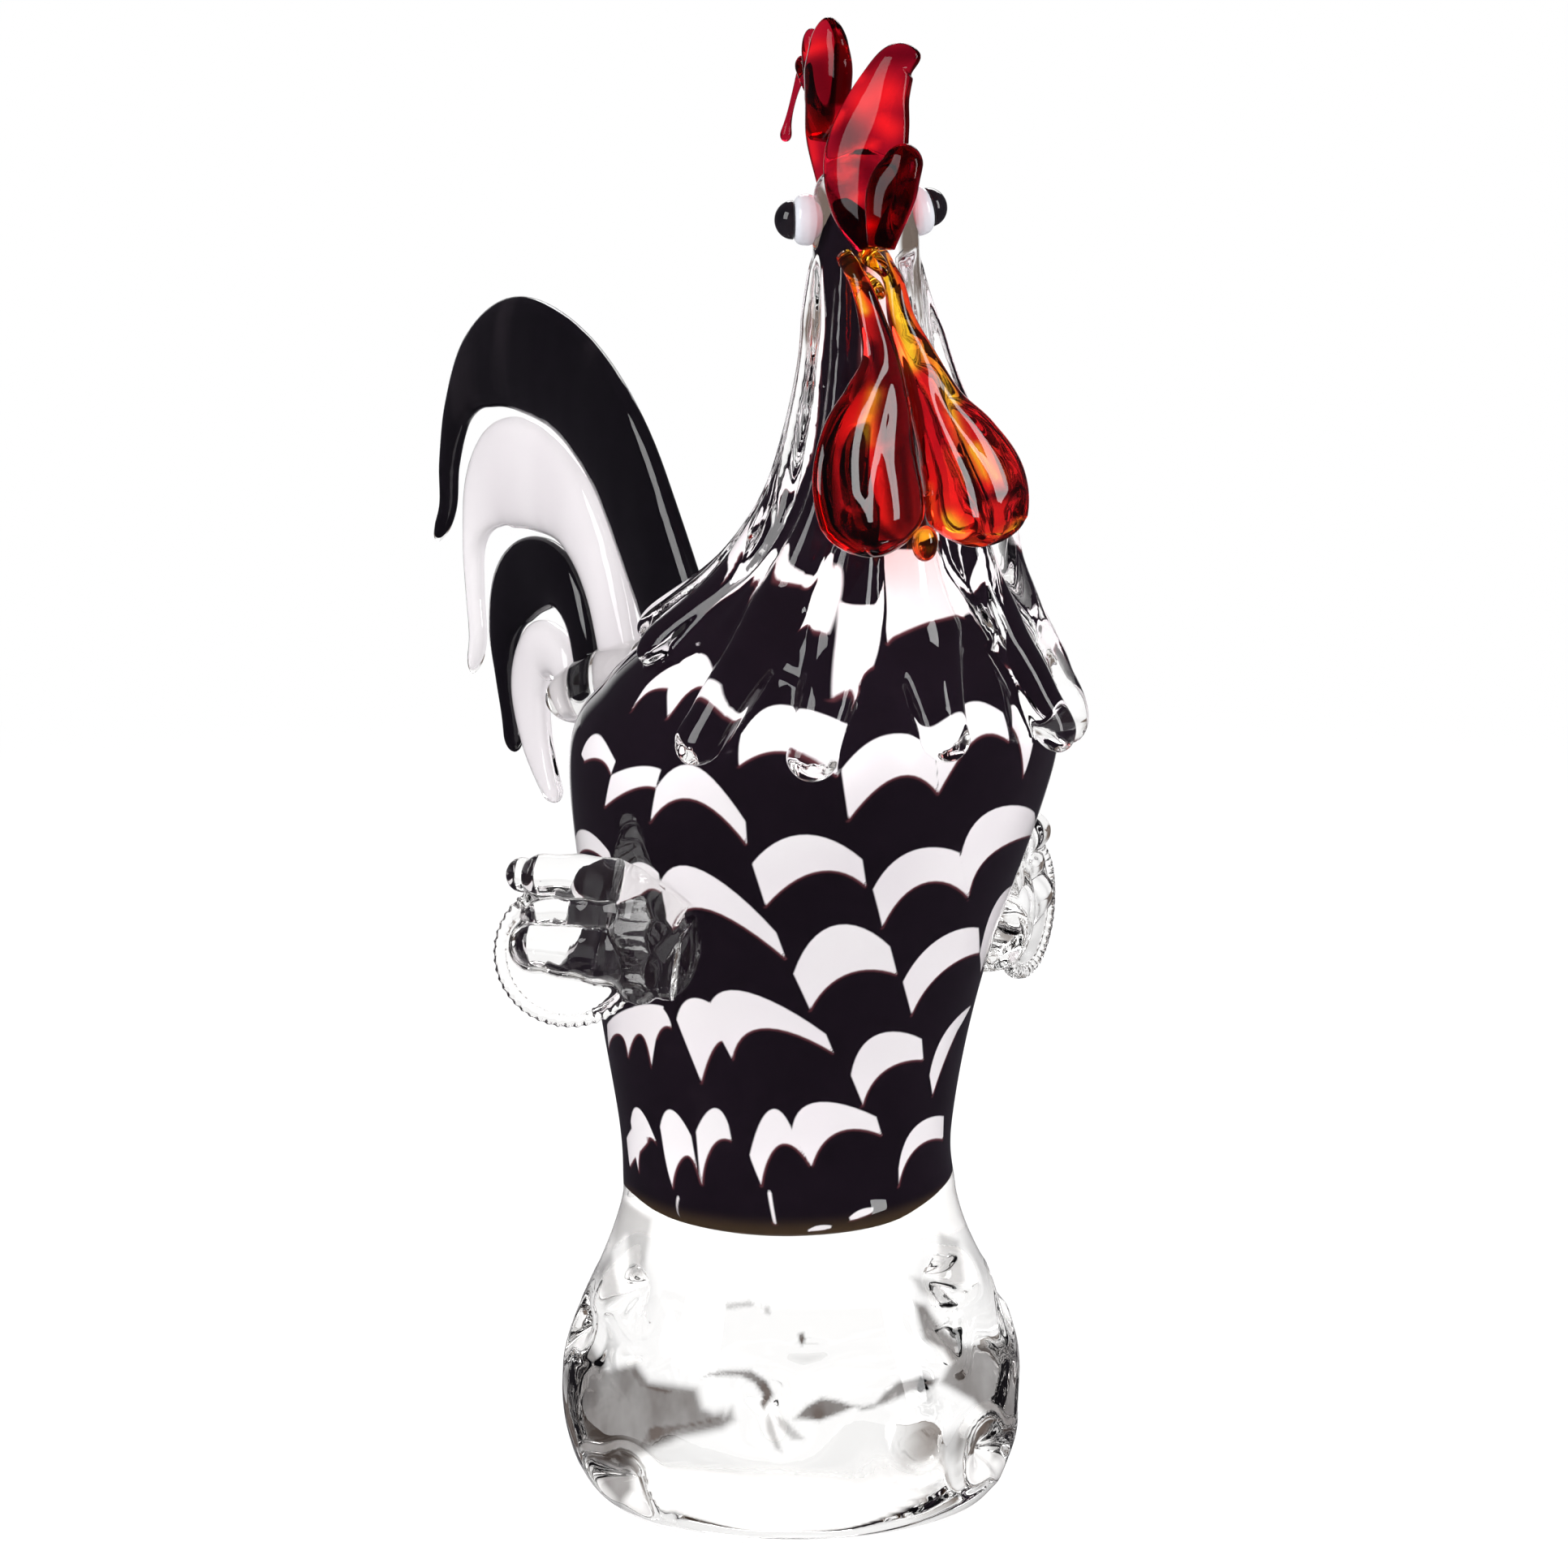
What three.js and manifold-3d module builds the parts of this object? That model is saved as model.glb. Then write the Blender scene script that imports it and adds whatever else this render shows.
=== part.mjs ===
// Glass rooster figurine: a solid clear foot, a black core with white feathering cased in clear glass,
// and hot-applied bits for the hackle, wings, tail, comb, beak, wattles and eyes.
// Millimetres, +Z up. The origin is the centre of the foot's underside.
// The bird faces -Y and its tail is at +Y.

import * as THREE from "three";
import { mergeVertices } from "three/addons/utils/BufferGeometryUtils.js";
import Module from "manifold-3d";

const wasm = await Module();
wasm.setup();

// Clearance kept between two bits of glass that are fused on the real figurine
const JOINT_GAP = 0.3;
const SWEEP_END = 0.988;

// Foot: a heavy clear gather, dented all round with a pointed tool
const FOOT_HEIGHT = 61;
const FOOT_RADIUS = 45.7;
const FOOT_BELLY_HEIGHT = 22;
const FOOT_REST_RADIUS = 36;
const FOOT_EDGE_INSET = 3.8;
const FOOT_BELLY_HANDLE = 16;
const FOOT_WAIST_HANDLE = 15;
const FOOT_WAIST_FLARE = 3;
const WAIST_RADIUS = 33;
const DISH_DEPTH = 6;
const PIT_DEPTH = 2.4;
const PIT_SPREAD = 5.5;
const PITS_PER_ROW = 6;
const PIT_ROWS = [
  { height: 12, turn: 17 },
  { height: 29, turn: 47 },
  { height: 46, turn: 20 },
];

// Body, neck and head: each station's height above the one below it, outer radius, forward lean and
// the casing's wall. The first stands on the waist. The core draws in under the hackle, where the clear
// glass is thickest.
const CASING_WALL = 3.2;
const LOWER_BODY = { step: 14, radius: 33, lean: -3, wall: CASING_WALL };
const BELLY = { step: 30, radius: 38.2, lean: -2, wall: CASING_WALL };
const BREAST = { step: 45, radius: 47.2, lean: 6.5, wall: CASING_WALL };
const SHOULDER = { step: 16, radius: 42.5, lean: 12, wall: 3.9 };
const COLLAR = { step: 12, radius: 33, lean: 17, wall: 9.5 };
const NECK_ROOT = { step: 12, radius: 23, lean: 21, wall: 11.2 };
const NECK = { step: 16, radius: 15, lean: 25, wall: 6.7 };
const THROAT = { step: 23, radius: 10.3, lean: 25.5, wall: 3.9 };
const CHEEK = { step: 25, radius: 10, lean: 24.5, wall: 4 };
const CROWN = { step: 9, radius: 8.6, lean: 24.5, wall: 4 };
const HEAD_TOP = { step: 5.5, radius: 0.4, lean: 24.5, wall: 0.2 };
const WAIST_LEAN = -1.5;
const CORE_TOP_ABOVE_CHEEK = 5;
const CORE_TOP_TAPER = 18;
// In the neck the core runs off the middle, to the bird's right and back
const CORE_DRIFT = { x: -1.7, y: 1.1 };

// Hackle: long clear feathers from the throat down over the shoulders
const HACKLE_TOP_BELOW_CHEEK = 5;
const HACKLE_FRONT_TOP_BELOW_CHEEK = 19;
const HACKLE_FRONT_TURN = 45;
const HACKLE_TIP_THICKNESS = 3.6;
const HACKLE_TIP_HALF_WIDTH = 5.4;
const HACKLE_MOST_HALF_WIDTH = 7.4;
// Each feather: turn from the breast towards +X in degrees, tip height above the breast, thickness at the
// top, halfway down and below that, and how far the tip stands off
const HACKLE_FEATHERS = [
  { turn: -6, tipAboveBreast: 7.5, top: 1.6, middle: 3.4, low: 3.4, standOff: 3.2 },
  { turn: 29, tipAboveBreast: 5.5, top: 1.6, middle: 7, low: 5, standOff: 3.2 },
  { turn: 67, tipAboveBreast: 1, top: 1.6, middle: 12, low: 6, standOff: 2 },
  { turn: 105, tipAboveBreast: 11, top: 1.6, middle: 6, low: 5, standOff: 2.5 },
  { turn: 142, tipAboveBreast: 19, top: 1.6, middle: 4.4, low: 4.4, standOff: 2 },
  { turn: 179, tipAboveBreast: 24, top: 2, middle: 3.8, low: 3.8, standOff: 2 },
  { turn: -142, tipAboveBreast: 23, top: 2.8, middle: 4.2, low: 3.2, standOff: 1.2 },
  { turn: -101, tipAboveBreast: 22.5, top: 2.8, middle: 4.2, low: 3.2, standOff: 1 },
  { turn: -61, tipAboveBreast: 7, top: 1.6, middle: 4.6, low: 4.6, standOff: 3.2 },
  { turn: -35, tipAboveBreast: 5, top: 1.6, middle: 3.4, low: 3.4, standOff: 3.2 },
];

// Eyes: a white disc on each cheek with a black bead on it. The face is turned to the bird's right, and
// its left eye sits higher and looks up. Turns and tilts are in degrees.
const EYES = [
  { name: "left", sign: 1, turn: -16, tilt: 12, aboveCheek: 2.2, sink: 0.6 },
  { name: "right", sign: -1, turn: -28, tilt: 0, aboveCheek: 1, sink: 0 },
];
const EYE_BACK = 1.1;
const EYE_WHITE_RADIUS = 4.8;
const EYE_WHITE_STAND = 3.7;
const EYE_PUPIL_RADIUS = 3.7;
const EYE_PUPIL_STAND = 3.4;

// Comb: two red blades in front, turned out, three lobes behind them and a drip that hangs from the last.
// Stations are [x, y, z, half width, half thickness] from the top of the head.
const COMB_SIDE_SHIFT = -3.2;
const BLADE_ACROSS = [-0.776, -0.582, 0.242];
const LOBE_ACROSS = [1, 0, 0];
const COMB_LOBES = [
  {
    across: BLADE_ACROSS,
    stations: [
      [-4.2, -16.1, -17.2, 2.6, 2], [-2.7, -15.7, -11.3, 4.2, 2.8], [-1.2, -15.6, -6.2, 4.6, 3],
      [0.5, -16.3, -2, 4, 2.8], [1.8, -16.7, 1.6, 3, 2.2],
    ],
  },
  {
    across: BLADE_ACROSS,
    stations: [
      [-2, -10.9, -17.5, 3.4, 2.4], [-2.2, -7.8, -10.3, 6.6, 3.2], [-1, -6, -2.2, 7.8, 3.3],
      [1.2, -5.7, 5.5, 6.9, 3.2], [3.3, -6, 11.4, 5.5, 3], [5.7, -7.2, 16, 4, 2.7],
      [8.6, -10, 17.6, 2.6, 2.2],
    ],
  },
  {
    across: LOBE_ACROSS,
    stations: [
      [0.8, 9.5, -7, 2.2, 1.8], [0, 10.5, 1.3, 3.2, 2.4], [0, 8.6, 7.5, 5.8, 3.2],
      [0, 7.9, 13.6, 6.6, 3.3], [0.3, 8.2, 19, 4.6, 2.8], [0.4, 8.3, 24, 3.4, 2.4],
    ],
  },
  {
    across: LOBE_ACROSS,
    stations: [[2.4, 12, 2, 2.2, 2], [3.2, 16.2, 10, 2.4, 2.2], [3.4, 19, 21.4, 2.3, 2.2]],
  },
  {
    across: LOBE_ACROSS,
    stations: [[4.2, 17, 7, 2, 1.9], [4.5, 20.5, 11.5, 2.1, 2], [4.4, 24, 15.8, 2, 1.9]],
  },
  {
    across: LOBE_ACROSS,
    stations: [
      [4.4, 22.6, 14.6, 1.3, 1.3], [4.3, 25.8, 9, 1.2, 1.2],
      [3.7, 27.4, 3.4, 1.4, 1.4], [3.2, 27.8, -0.5, 1.4, 1.4],
    ],
  },
];

// Beak and wattles: stations are [side, y, z, half width, half thickness], from the front of the cheek.
// A wattle's side is measured from a middle line that runs down with it.
const BEAK_UPPER = [[-5.1, 2.5, -4.5, 1.5, 2], [-5.2, -2, -6, 1.4, 1.7], [-5.3, -4.8, -8, 0.9, 0.9]];
const BEAK_LOWER = [
  [-5.1, 2.5, -9.6, 1.4, 1.8], [-5.2, -1.4, -10.8, 1.3, 1.5], [-5.3, -3.6, -12.2, 0.8, 0.8],
];
const WATTLE_STEM = [
  [3.6, 4, -5, 1.7, 1.8], [3.7, -1.6, -9.5, 1.9, 1.9], [3.3, -4.5, -16.5, 2.8, 2.2],
  [4.2, -6.6, -23.5, 3.9, 2.7],
];
const WATTLE_LEFT = [
  ...WATTLE_STEM, [6.4, -9, -32.5, 6.1, 3.4], [9.8, -11.2, -40, 9.5, 4],
  [12, -13.2, -47, 11.6, 4.5], [11.6, -14.7, -53.5, 11, 4.4], [11.2, -15.6, -58.5, 9, 3.8],
];
const WATTLE_RIGHT = [
  ...WATTLE_STEM, [7.2, -9, -31, 7.2, 3.4], [10.4, -11.2, -38.5, 10.2, 4],
  [12, -13.2, -45.5, 11.7, 4.5], [11.6, -14.7, -52.5, 11.2, 4.4], [11.2, -15.6, -58.5, 9.4, 3.8],
];
const WATTLE_MIDDLES = [-5.1, -5.3, -4.9, -3.6, -3, -3, -3, -3, -3];

// Wings: on each flank a thick root, three rolls laid over one another, a knob on the upper roll's end
// and a thin fin below. The one on the bird's right sits a little higher. Rolls have stations of
// [reach, lift, forward, half height], and a ratio of thickness to height.
const WING_LEFT_ABOVE_BELLY = 10.5;
const WING_RIGHT_ABOVE_BELLY = 14.5;
const WING_TURN = 70;
const WING_SWEEP = 33;
const WING_ROOT = { reach: 4.6, lift: 0.2, halfReach: 6.6, halfThickness: 7.2, halfHeight: 12.8 };
const WING_ROLLS = [
  {
    ratio: 1.15,
    stations: [[-3, 4, 0, 6], [4, 9, 1, 5.2], [12, 11.2, 1.6, 4.6], [20, 12.2, 1.6, 4.2], [27.5, 12, 1.2, 4]],
  },
  {
    ratio: 1.3,
    stations: [
      [-3, -1, 0, 7], [6, 4.6, 2, 5.4], [14, 5.4, 2.6, 4.2], [21, 5.4, 2.4, 3.5], [27.6, 5.2, 1.6, 2.9],
    ],
  },
  {
    ratio: 1.05,
    stations: [[-3, -4, 0, 8], [6, -2.6, 1.4, 7], [14, -2, 2, 6], [22, -1.2, 1.8, 5.2], [29.6, -0.4, 1, 4.4]],
  },
];
const WING_KNOB = { reach: 26.9, lift: 12, forward: 3.4, radius: 3.4 };
const WING_FIN = { reach: 18, lift: -2.5, radius: 14, halfThickness: 1.7, edgeHalfThickness: 0.9 };

// Tail: a clear stem and four feathers in the symmetry plane, each a coloured strip cased in clear glass.
// Stations are [y, z, half width, half thickness], measured from the back of the body at the tail's height.
// A strip stops short of its casing's tip: the two reaches are shares of the feather's length.
const TAIL_ABOVE_BREAST = 5;
const FEATHER_WALL = 1;
const HOLLOW_REACH = 0.965;
const STRAND_REACH = 0.955;
const STEM_HALF_THICKNESS = 6.6;
const STEM_STATIONS = [[-8, -1, 11], [8, 0, 10], [24, -1, 8.6], [38, -4.5, 7], [50, -9, 4.6]];
const TAIL_FEATHERS = [
  [
    [-8, -2.5, 10.5, 4], [13, 29, 11.4, 3.8], [27, 47, 11.8, 3.6], [45, 59, 12.2, 3.4], [65.5, 63, 12.2, 3.2],
    [82, 58.5, 9, 2.8], [92, 49, 4.4, 2.4], [96.5, 37, 2.4, 2.1], [97.5, 27, 2, 1.9], [102.5, 19, 1.7, 1.7],
  ],
  [
    [23.5, -1, 6.2, 3.4], [31.5, 19, 6.6, 3.3], [43.5, 32, 8.6, 3.2], [58.5, 37.4, 11.3, 3],
    [72, 37, 11.6, 2.8], [81, 31, 8.6, 2.5], [86, 21, 3.2, 2.2], [86, 10, 2.1, 2],
    [85, 0, 2, 1.9], [87.5, -8, 1.7, 1.7],
  ],
  [
    [36, -4.5, 3.8, 3.2], [40.6, 9.6, 4.7, 3.1], [49, 17, 6.4, 3], [60, 17, 8.2, 2.9], [69, 12, 8.2, 2.7],
    [73.5, 3, 5, 2.4], [73, -6.5, 2.5, 2.2], [71, -15, 2.1, 2], [69.5, -22.5, 2.3, 2.1],
  ],
  [
    [43, -9, 3, 3.2], [48.6, 0, 5, 3.2], [57.5, 1, 6.6, 3], [62.5, -7, 6.6, 2.8], [60.5, -17.5, 5, 2.6],
    [56, -25.5, 3.2, 2.3], [52, -30.5, 1.8, 1.9],
  ],
];

// Facets
const BODY_SIDES = 32;
const CASING_STEPS = 22;
const CORE_STEPS_PER_STATION = 3;
const DISH_STEPS = 4;
const FOOT_STEPS = 12;

const glass = (color, roughness, opacity) =>
  new THREE.MeshStandardMaterial({ color, roughness, metalness: 0, opacity, transparent: opacity < 1 });
const CLEAR = glass(0xf4f2f3, 0.04, 0.35);
const BLACK = glass(0x120d14, 0.06, 1);
const WHITE = glass(0xf1e9ee, 0.1, 1);
const RED = glass(0xb00a1c, 0.05, 0.85);
const RED_AMBER = glass(0xc8280a, 0.05, 0.85);
const AMBER = glass(0xf08a10, 0.05, 0.85);

// Geometry helpers

// A closed surface through rings of points, each ring turning the same way, with a fan on each end.
function loft(rings) {
  const count = rings[0].length;
  const centre = (ring) => ring.reduce((sum, p) => sum.add(p), new THREE.Vector3()).divideScalar(count);
  const points = [...rings.flat(), centre(rings[0]), centre(rings[rings.length - 1])];
  const first = rings.length * count;
  const last = first + 1;
  const index = [];
  for (let side = 0; side < count; side++) {
    const next = (side + 1) % count;
    index.push(first, next, side);
    for (let ring = 0; ring < rings.length - 1; ring++) {
      const low = ring * count;
      const high = low + count;
      index.push(low + side, low + next, high + side, high + side, low + next, high + next);
    }
    const top = first - count;
    index.push(last, top + side, top + next);
  }
  return new THREE.BufferGeometry().setFromPoints(points).setIndex(index);
}

// A level ring about the leaning axis of the body.
function ring(radius, centreY, z, radiusAt = () => radius) {
  return Array.from({ length: BODY_SIDES }, (_, side) => {
    const angle = (2 * Math.PI * side) / BODY_SIDES;
    const reach = radiusAt(angle);
    return new THREE.Vector3(reach * Math.cos(angle), centreY + reach * Math.sin(angle), z);
  });
}

// A solid with an oval section along a path. `across` is a fixed direction, and size(t) gives the half size
// along it and the half size square to it. It stops at `reach` of the path, and its last stretch is rounded.
function sweep({ path, across, size, steps, sides, roundFrom = 0.9, reach = 1 }) {
  const rings = [];
  for (let step = 0; step <= steps; step++) {
    const even = step / steps;
    const share = Math.min(Math.sin((Math.PI / 2) * even) * 0.6 + even * 0.4, SWEEP_END);
    const t = share * reach;
    const point = path(t);
    const tangent = path(Math.min(t + 0.004, 1)).sub(path(Math.max(t - 0.004, 0))).normalize();
    const normal = tangent.clone().cross(across).normalize();
    const side = normal.clone().cross(tangent);
    const past = Math.max(0, (share - roundFrom) / (1 - roundFrom));
    const round = Math.sqrt(1 - past * past);
    const [along, square] = size(t).map((half) => half * round);
    rings.push(
      Array.from({ length: sides }, (_, i) => {
        const angle = (2 * Math.PI * i) / sides;
        return point
          .clone()
          .addScaledVector(side, along * Math.cos(angle))
          .addScaledVector(normal, square * Math.sin(angle));
      }),
    );
  }
  return loft(rings);
}

// A smooth function of 0 to 1 through rows of numbers.
function through(rows) {
  const columns = rows[0].map((_, column) => rows.map((row) => row[column]));
  return (t) =>
    columns.map((values) => {
      const place = t * (values.length - 1);
      const low = Math.min(Math.floor(place), values.length - 2);
      const [p1, p2] = [values[low], values[low + 1]];
      const p0 = values[low - 1] ?? 2 * p1 - p2;
      const p3 = values[low + 2] ?? 2 * p2 - p1;
      const f = place - low;
      return 0.5 * (2 * p1 + (p2 - p0) * f + (2 * p0 - 5 * p1 + 4 * p2 - p3) * f * f
        + (3 * p1 - p0 - 3 * p2 + p3) * f * f * f);
    });
}

// Boolean helpers
function solid(geometry) {
  const bare = geometry.clone();
  bare.deleteAttribute("normal");
  bare.deleteAttribute("uv");
  const merged = mergeVertices(bare, 1e-4);
  return new wasm.Manifold(
    new wasm.Mesh({
      numProp: 3,
      vertProperties: merged.attributes.position.array,
      triVerts: new Uint32Array(merged.index.array),
    }),
  );
}

function geometryOf(manifold) {
  const made = manifold.getMesh();
  const geometry = new THREE.BufferGeometry();
  geometry.setAttribute("position", new THREE.BufferAttribute(made.vertProperties, 3));
  geometry.setIndex(new THREE.BufferAttribute(made.triVerts, 1));
  return geometry;
}

// What is left of a piece outside its neighbours: its largest body.
function cutBy(piece, ...neighbours) {
  const left = neighbours.reduce((rest, neighbour) => rest.subtract(neighbour), piece);
  const bodies = left.decompose();
  return bodies.reduce((most, body) => (body.volume() > most.volume() ? body : most));
}

const rooster = new THREE.Group();
function add(name, geometry, material) {
  const mesh = new THREE.Mesh(geometry, material);
  mesh.name = name;
  rooster.add(mesh);
}

// The body's outline as a function of its height

const STATIONS = [
  { step: 0, radius: WAIST_RADIUS, lean: WAIST_LEAN, wall: CASING_WALL },
  LOWER_BODY, BELLY, BREAST, SHOULDER, COLLAR, NECK_ROOT, NECK, THROAT, CHEEK, CROWN, HEAD_TOP,
];

// Height of a station: the foot and every step up to it.
function heightOf(station) {
  const below = STATIONS.slice(0, STATIONS.indexOf(station) + 1);
  return below.reduce((sum, { step }) => sum + step, FOOT_HEIGHT);
}

const outline = new THREE.CatmullRomCurve3(
  STATIONS.map((station) => new THREE.Vector3(station.radius, -station.lean, heightOf(station))),
);

// Radius and centre of the casing at a height, by halving the curve's parameter.
function bodyAt(z) {
  let [low, high] = [0, 1];
  for (let halving = 0; halving < 40; halving++) {
    const middle = (low + high) / 2;
    if (outline.getPoint(middle).z < z) low = middle;
    else high = middle;
  }
  const { x: radius, y: centreY } = outline.getPoint(low);
  return { radius, centreY };
}

// A point of the casing's surface, moved outwards. The turn runs from the breast towards +X.
function onBody(turn, z, outwards = 0) {
  const { radius, centreY } = bodyAt(z);
  const angle = THREE.MathUtils.degToRad(turn);
  const reach = radius + outwards;
  return new THREE.Vector3(reach * Math.sin(angle), centreY - reach * Math.cos(angle), z);
}

const heights = (low, high, steps) =>
  Array.from({ length: steps + 1 }, (_, i) => low + ((high - low) * i) / steps);

// Casing, core and foot

function casingRings(growth, steps) {
  return outline.getPoints(steps).map(({ x, y, z }) => ring(x + growth, y, z));
}

// The casing's wall at a height, eased from station to station.
function wallAt(z) {
  const above = STATIONS.findIndex((station) => heightOf(station) > z);
  const [low, high] = [STATIONS[above - 1], STATIONS[above]];
  const share = THREE.MathUtils.smoothstep(z, heightOf(low), heightOf(high));
  return THREE.MathUtils.lerp(low.wall, high.wall, share);
}

// The skin between core and casing, drawn in by an inset, from the lowest height to a tapered top.
function coreRings(inset, lowest) {
  const topZ = heightOf(CHEEK) + CORE_TOP_ABOVE_CHEEK - inset;
  const levels = STATIONS.slice(0, STATIONS.indexOf(CROWN)).flatMap((station, i) => {
    const [low, high] = [heightOf(station), Math.min(heightOf(STATIONS[i + 1]), topZ)];
    return heights(Math.max(low, lowest), high, CORE_STEPS_PER_STATION).slice(0, -1);
  });
  return [...levels, topZ].map((z) => {
    const { radius, centreY } = bodyAt(z);
    const drift = THREE.MathUtils.smoothstep(z, heightOf(COLLAR), heightOf(NECK));
    const round = Math.sqrt(Math.min(1, (topZ - z) / CORE_TOP_TAPER + 0.01));
    const reach = (radius - wallAt(z)) * round - inset * Math.min(1, 2 * round);
    const rim = ring(reach, centreY + CORE_DRIFT.y * drift, z);
    return rim.map((point) => point.setX(point.x + CORE_DRIFT.x * drift));
  });
}

const bottomZ = FOOT_HEIGHT + JOINT_GAP;
const grownBody = solid(loft([
  ring(WAIST_RADIUS, -WAIST_LEAN, FOOT_HEIGHT - JOINT_GAP),
  ...casingRings(JOINT_GAP, CASING_STEPS),
]));

function makeCasing() {
  const cavity = coreRings(0, bottomZ).reverse();
  const outside = casingRings(0, CASING_STEPS);
  const { radius, centreY } = bodyAt(bottomZ);
  outside[0] = ring(radius, centreY, bottomZ);
  add("clear_casing", loft([...cavity, ...outside]), CLEAR);
}

// The bowl between foot and core: shares of its radius, and its height at a share.
const BOWL_SHARES = heights(0.04, Math.PI / 2, DISH_STEPS).map((angle) => Math.sin(angle));
const bowl = (share) => FOOT_HEIGHT - DISH_DEPTH * Math.sqrt(Math.max(0, 1 - share * share));

function makeCore() {
  const inset = CASING_WALL + JOINT_GAP;
  const wall = coreRings(JOINT_GAP, bottomZ);
  const rim = bodyAt(bottomZ);
  const bottom = BOWL_SHARES.slice(0, -1).map((share) =>
    ring((rim.radius - inset) * share, rim.centreY, bowl(share) + JOINT_GAP));
  add("feathered_core", loft([...bottom, ...wall]), BLACK);
}

function makeFoot() {
  const centreY = -WAIST_LEAN;
  const side = new THREE.CurvePath();
  const rest = new THREE.Vector2(FOOT_REST_RADIUS, 0);
  const belly = new THREE.Vector2(FOOT_RADIUS, FOOT_BELLY_HEIGHT);
  const waist = new THREE.Vector2(WAIST_RADIUS, FOOT_HEIGHT);
  side.add(new THREE.CubicBezierCurve(
    rest,
    new THREE.Vector2(FOOT_RADIUS - FOOT_EDGE_INSET, 0.5),
    new THREE.Vector2(FOOT_RADIUS, FOOT_BELLY_HEIGHT / 2),
    belly,
  ));
  side.add(new THREE.CubicBezierCurve(
    belly,
    new THREE.Vector2(FOOT_RADIUS, FOOT_BELLY_HEIGHT + FOOT_BELLY_HANDLE),
    new THREE.Vector2(WAIST_RADIUS + FOOT_WAIST_FLARE, FOOT_HEIGHT - FOOT_WAIST_HANDLE),
    waist,
  ));
  const dent = (angle, z) =>
    PIT_ROWS.reduce((sum, { height, turn }) => {
      const pitch = (2 * Math.PI) / PITS_PER_ROW;
      const from = angle - THREE.MathUtils.degToRad(turn);
      const apart = (from - pitch * Math.round(from / pitch)) * FOOT_RADIUS;
      return sum + PIT_DEPTH * Math.exp(-(apart ** 2 + (z - height) ** 2) / PIT_SPREAD ** 2);
    }, 0);
  const walls = Array.from({ length: FOOT_STEPS + 1 }, (_, i) => side.getPoint(i / FOOT_STEPS));
  const outside = walls.map(({ x: radius, y: z }) => {
    const shift = (centreY * z) / FOOT_HEIGHT;
    const free = Math.min(1, z / 6, (FOOT_HEIGHT - z) / 6);
    return ring(radius, shift, z, (angle) => radius - free * dent(angle, z));
  });
  const dishRadius = WAIST_RADIUS - CASING_WALL;
  const dish = BOWL_SHARES.map((share) => ring(dishRadius * share, centreY, bowl(share))).reverse();
  add("foot", loft([ring(FOOT_REST_RADIUS / 3, 0, 0), ...outside, ...dish]), CLEAR);
}

// Hackle feathers lie on the casing, so each is cut to it

function hackleFeather(index, grow) {
  const feather = HACKLE_FEATHERS[index];
  const { turn } = feather;
  const apart = (other) => Math.abs(THREE.MathUtils.euclideanModulo(turn - other.turn + 180, 360) - 180);
  const nearest = Math.min(...HACKLE_FEATHERS.filter((_, other) => other !== index).map(apart));
  const underBeak = Math.abs(turn) < HACKLE_FRONT_TURN;
  const topZ = heightOf(CHEEK) - (underBeak ? HACKLE_FRONT_TOP_BELOW_CHEEK : HACKLE_TOP_BELOW_CHEEK);
  const tipZ = heightOf(BREAST) + feather.tipAboveBreast;
  const zAt = (t) => topZ + (tipZ - topZ) * t;
  const standOff = (t) => feather.standOff * THREE.MathUtils.smoothstep(t, 0.72, 1);
  const angle = THREE.MathUtils.degToRad(turn);
  const thickness = through([
    [feather.top], [(feather.top + feather.middle) / 2], [feather.middle], [feather.low],
    [HACKLE_TIP_THICKNESS],
  ]);
  const halfWidth = (t) => {
    const room = THREE.MathUtils.degToRad(nearest / 2) * bodyAt(zAt(t)).radius - JOINT_GAP;
    const narrowing = THREE.MathUtils.smoothstep(t, 0.7, 1);
    const wide = THREE.MathUtils.lerp(HACKLE_MOST_HALF_WIDTH, HACKLE_TIP_HALF_WIDTH, narrowing);
    return Math.min(room, wide);
  };
  return solid(
    sweep({
      path: (t) => onBody(turn, zAt(t), standOff(t)),
      across: new THREE.Vector3(Math.cos(angle), Math.sin(angle), 0),
      size: (t) => [halfWidth(t) + grow, thickness(t)[0] + grow],
      steps: 11,
      sides: 10,
      roundFrom: 0.93,
    }),
  );
}

function makeHackle() {
  HACKLE_FEATHERS.forEach((_, index) => {
    add(`hackle_feather_${index + 1}`, geometryOf(cutBy(hackleFeather(index, 0), grownBody)), CLEAR);
  });
}

// A flat strip in a plane square to X, through [y, z, half width, half thickness] stations from an anchor
function strip(stations, anchor, { grow = 0, steps = 14, sides = 8, roundFrom = 0.9, reach = 1 }) {
  const at = through(stations);
  return sweep({
    path: (t) => {
      const [y, z] = at(t);
      return new THREE.Vector3(anchor.x, anchor.y + y, anchor.z + z);
    },
    across: new THREE.Vector3(1, 0, 0),
    size: (t) => {
      const [, , halfWidth, halfThickness] = at(t);
      return [halfThickness + grow, halfWidth + grow];
    },
    steps,
    sides,
    roundFrom,
    reach,
  });
}

// Tail

const tailAnchor = onBody(180, heightOf(BREAST) + TAIL_ABOVE_BREAST);

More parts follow.
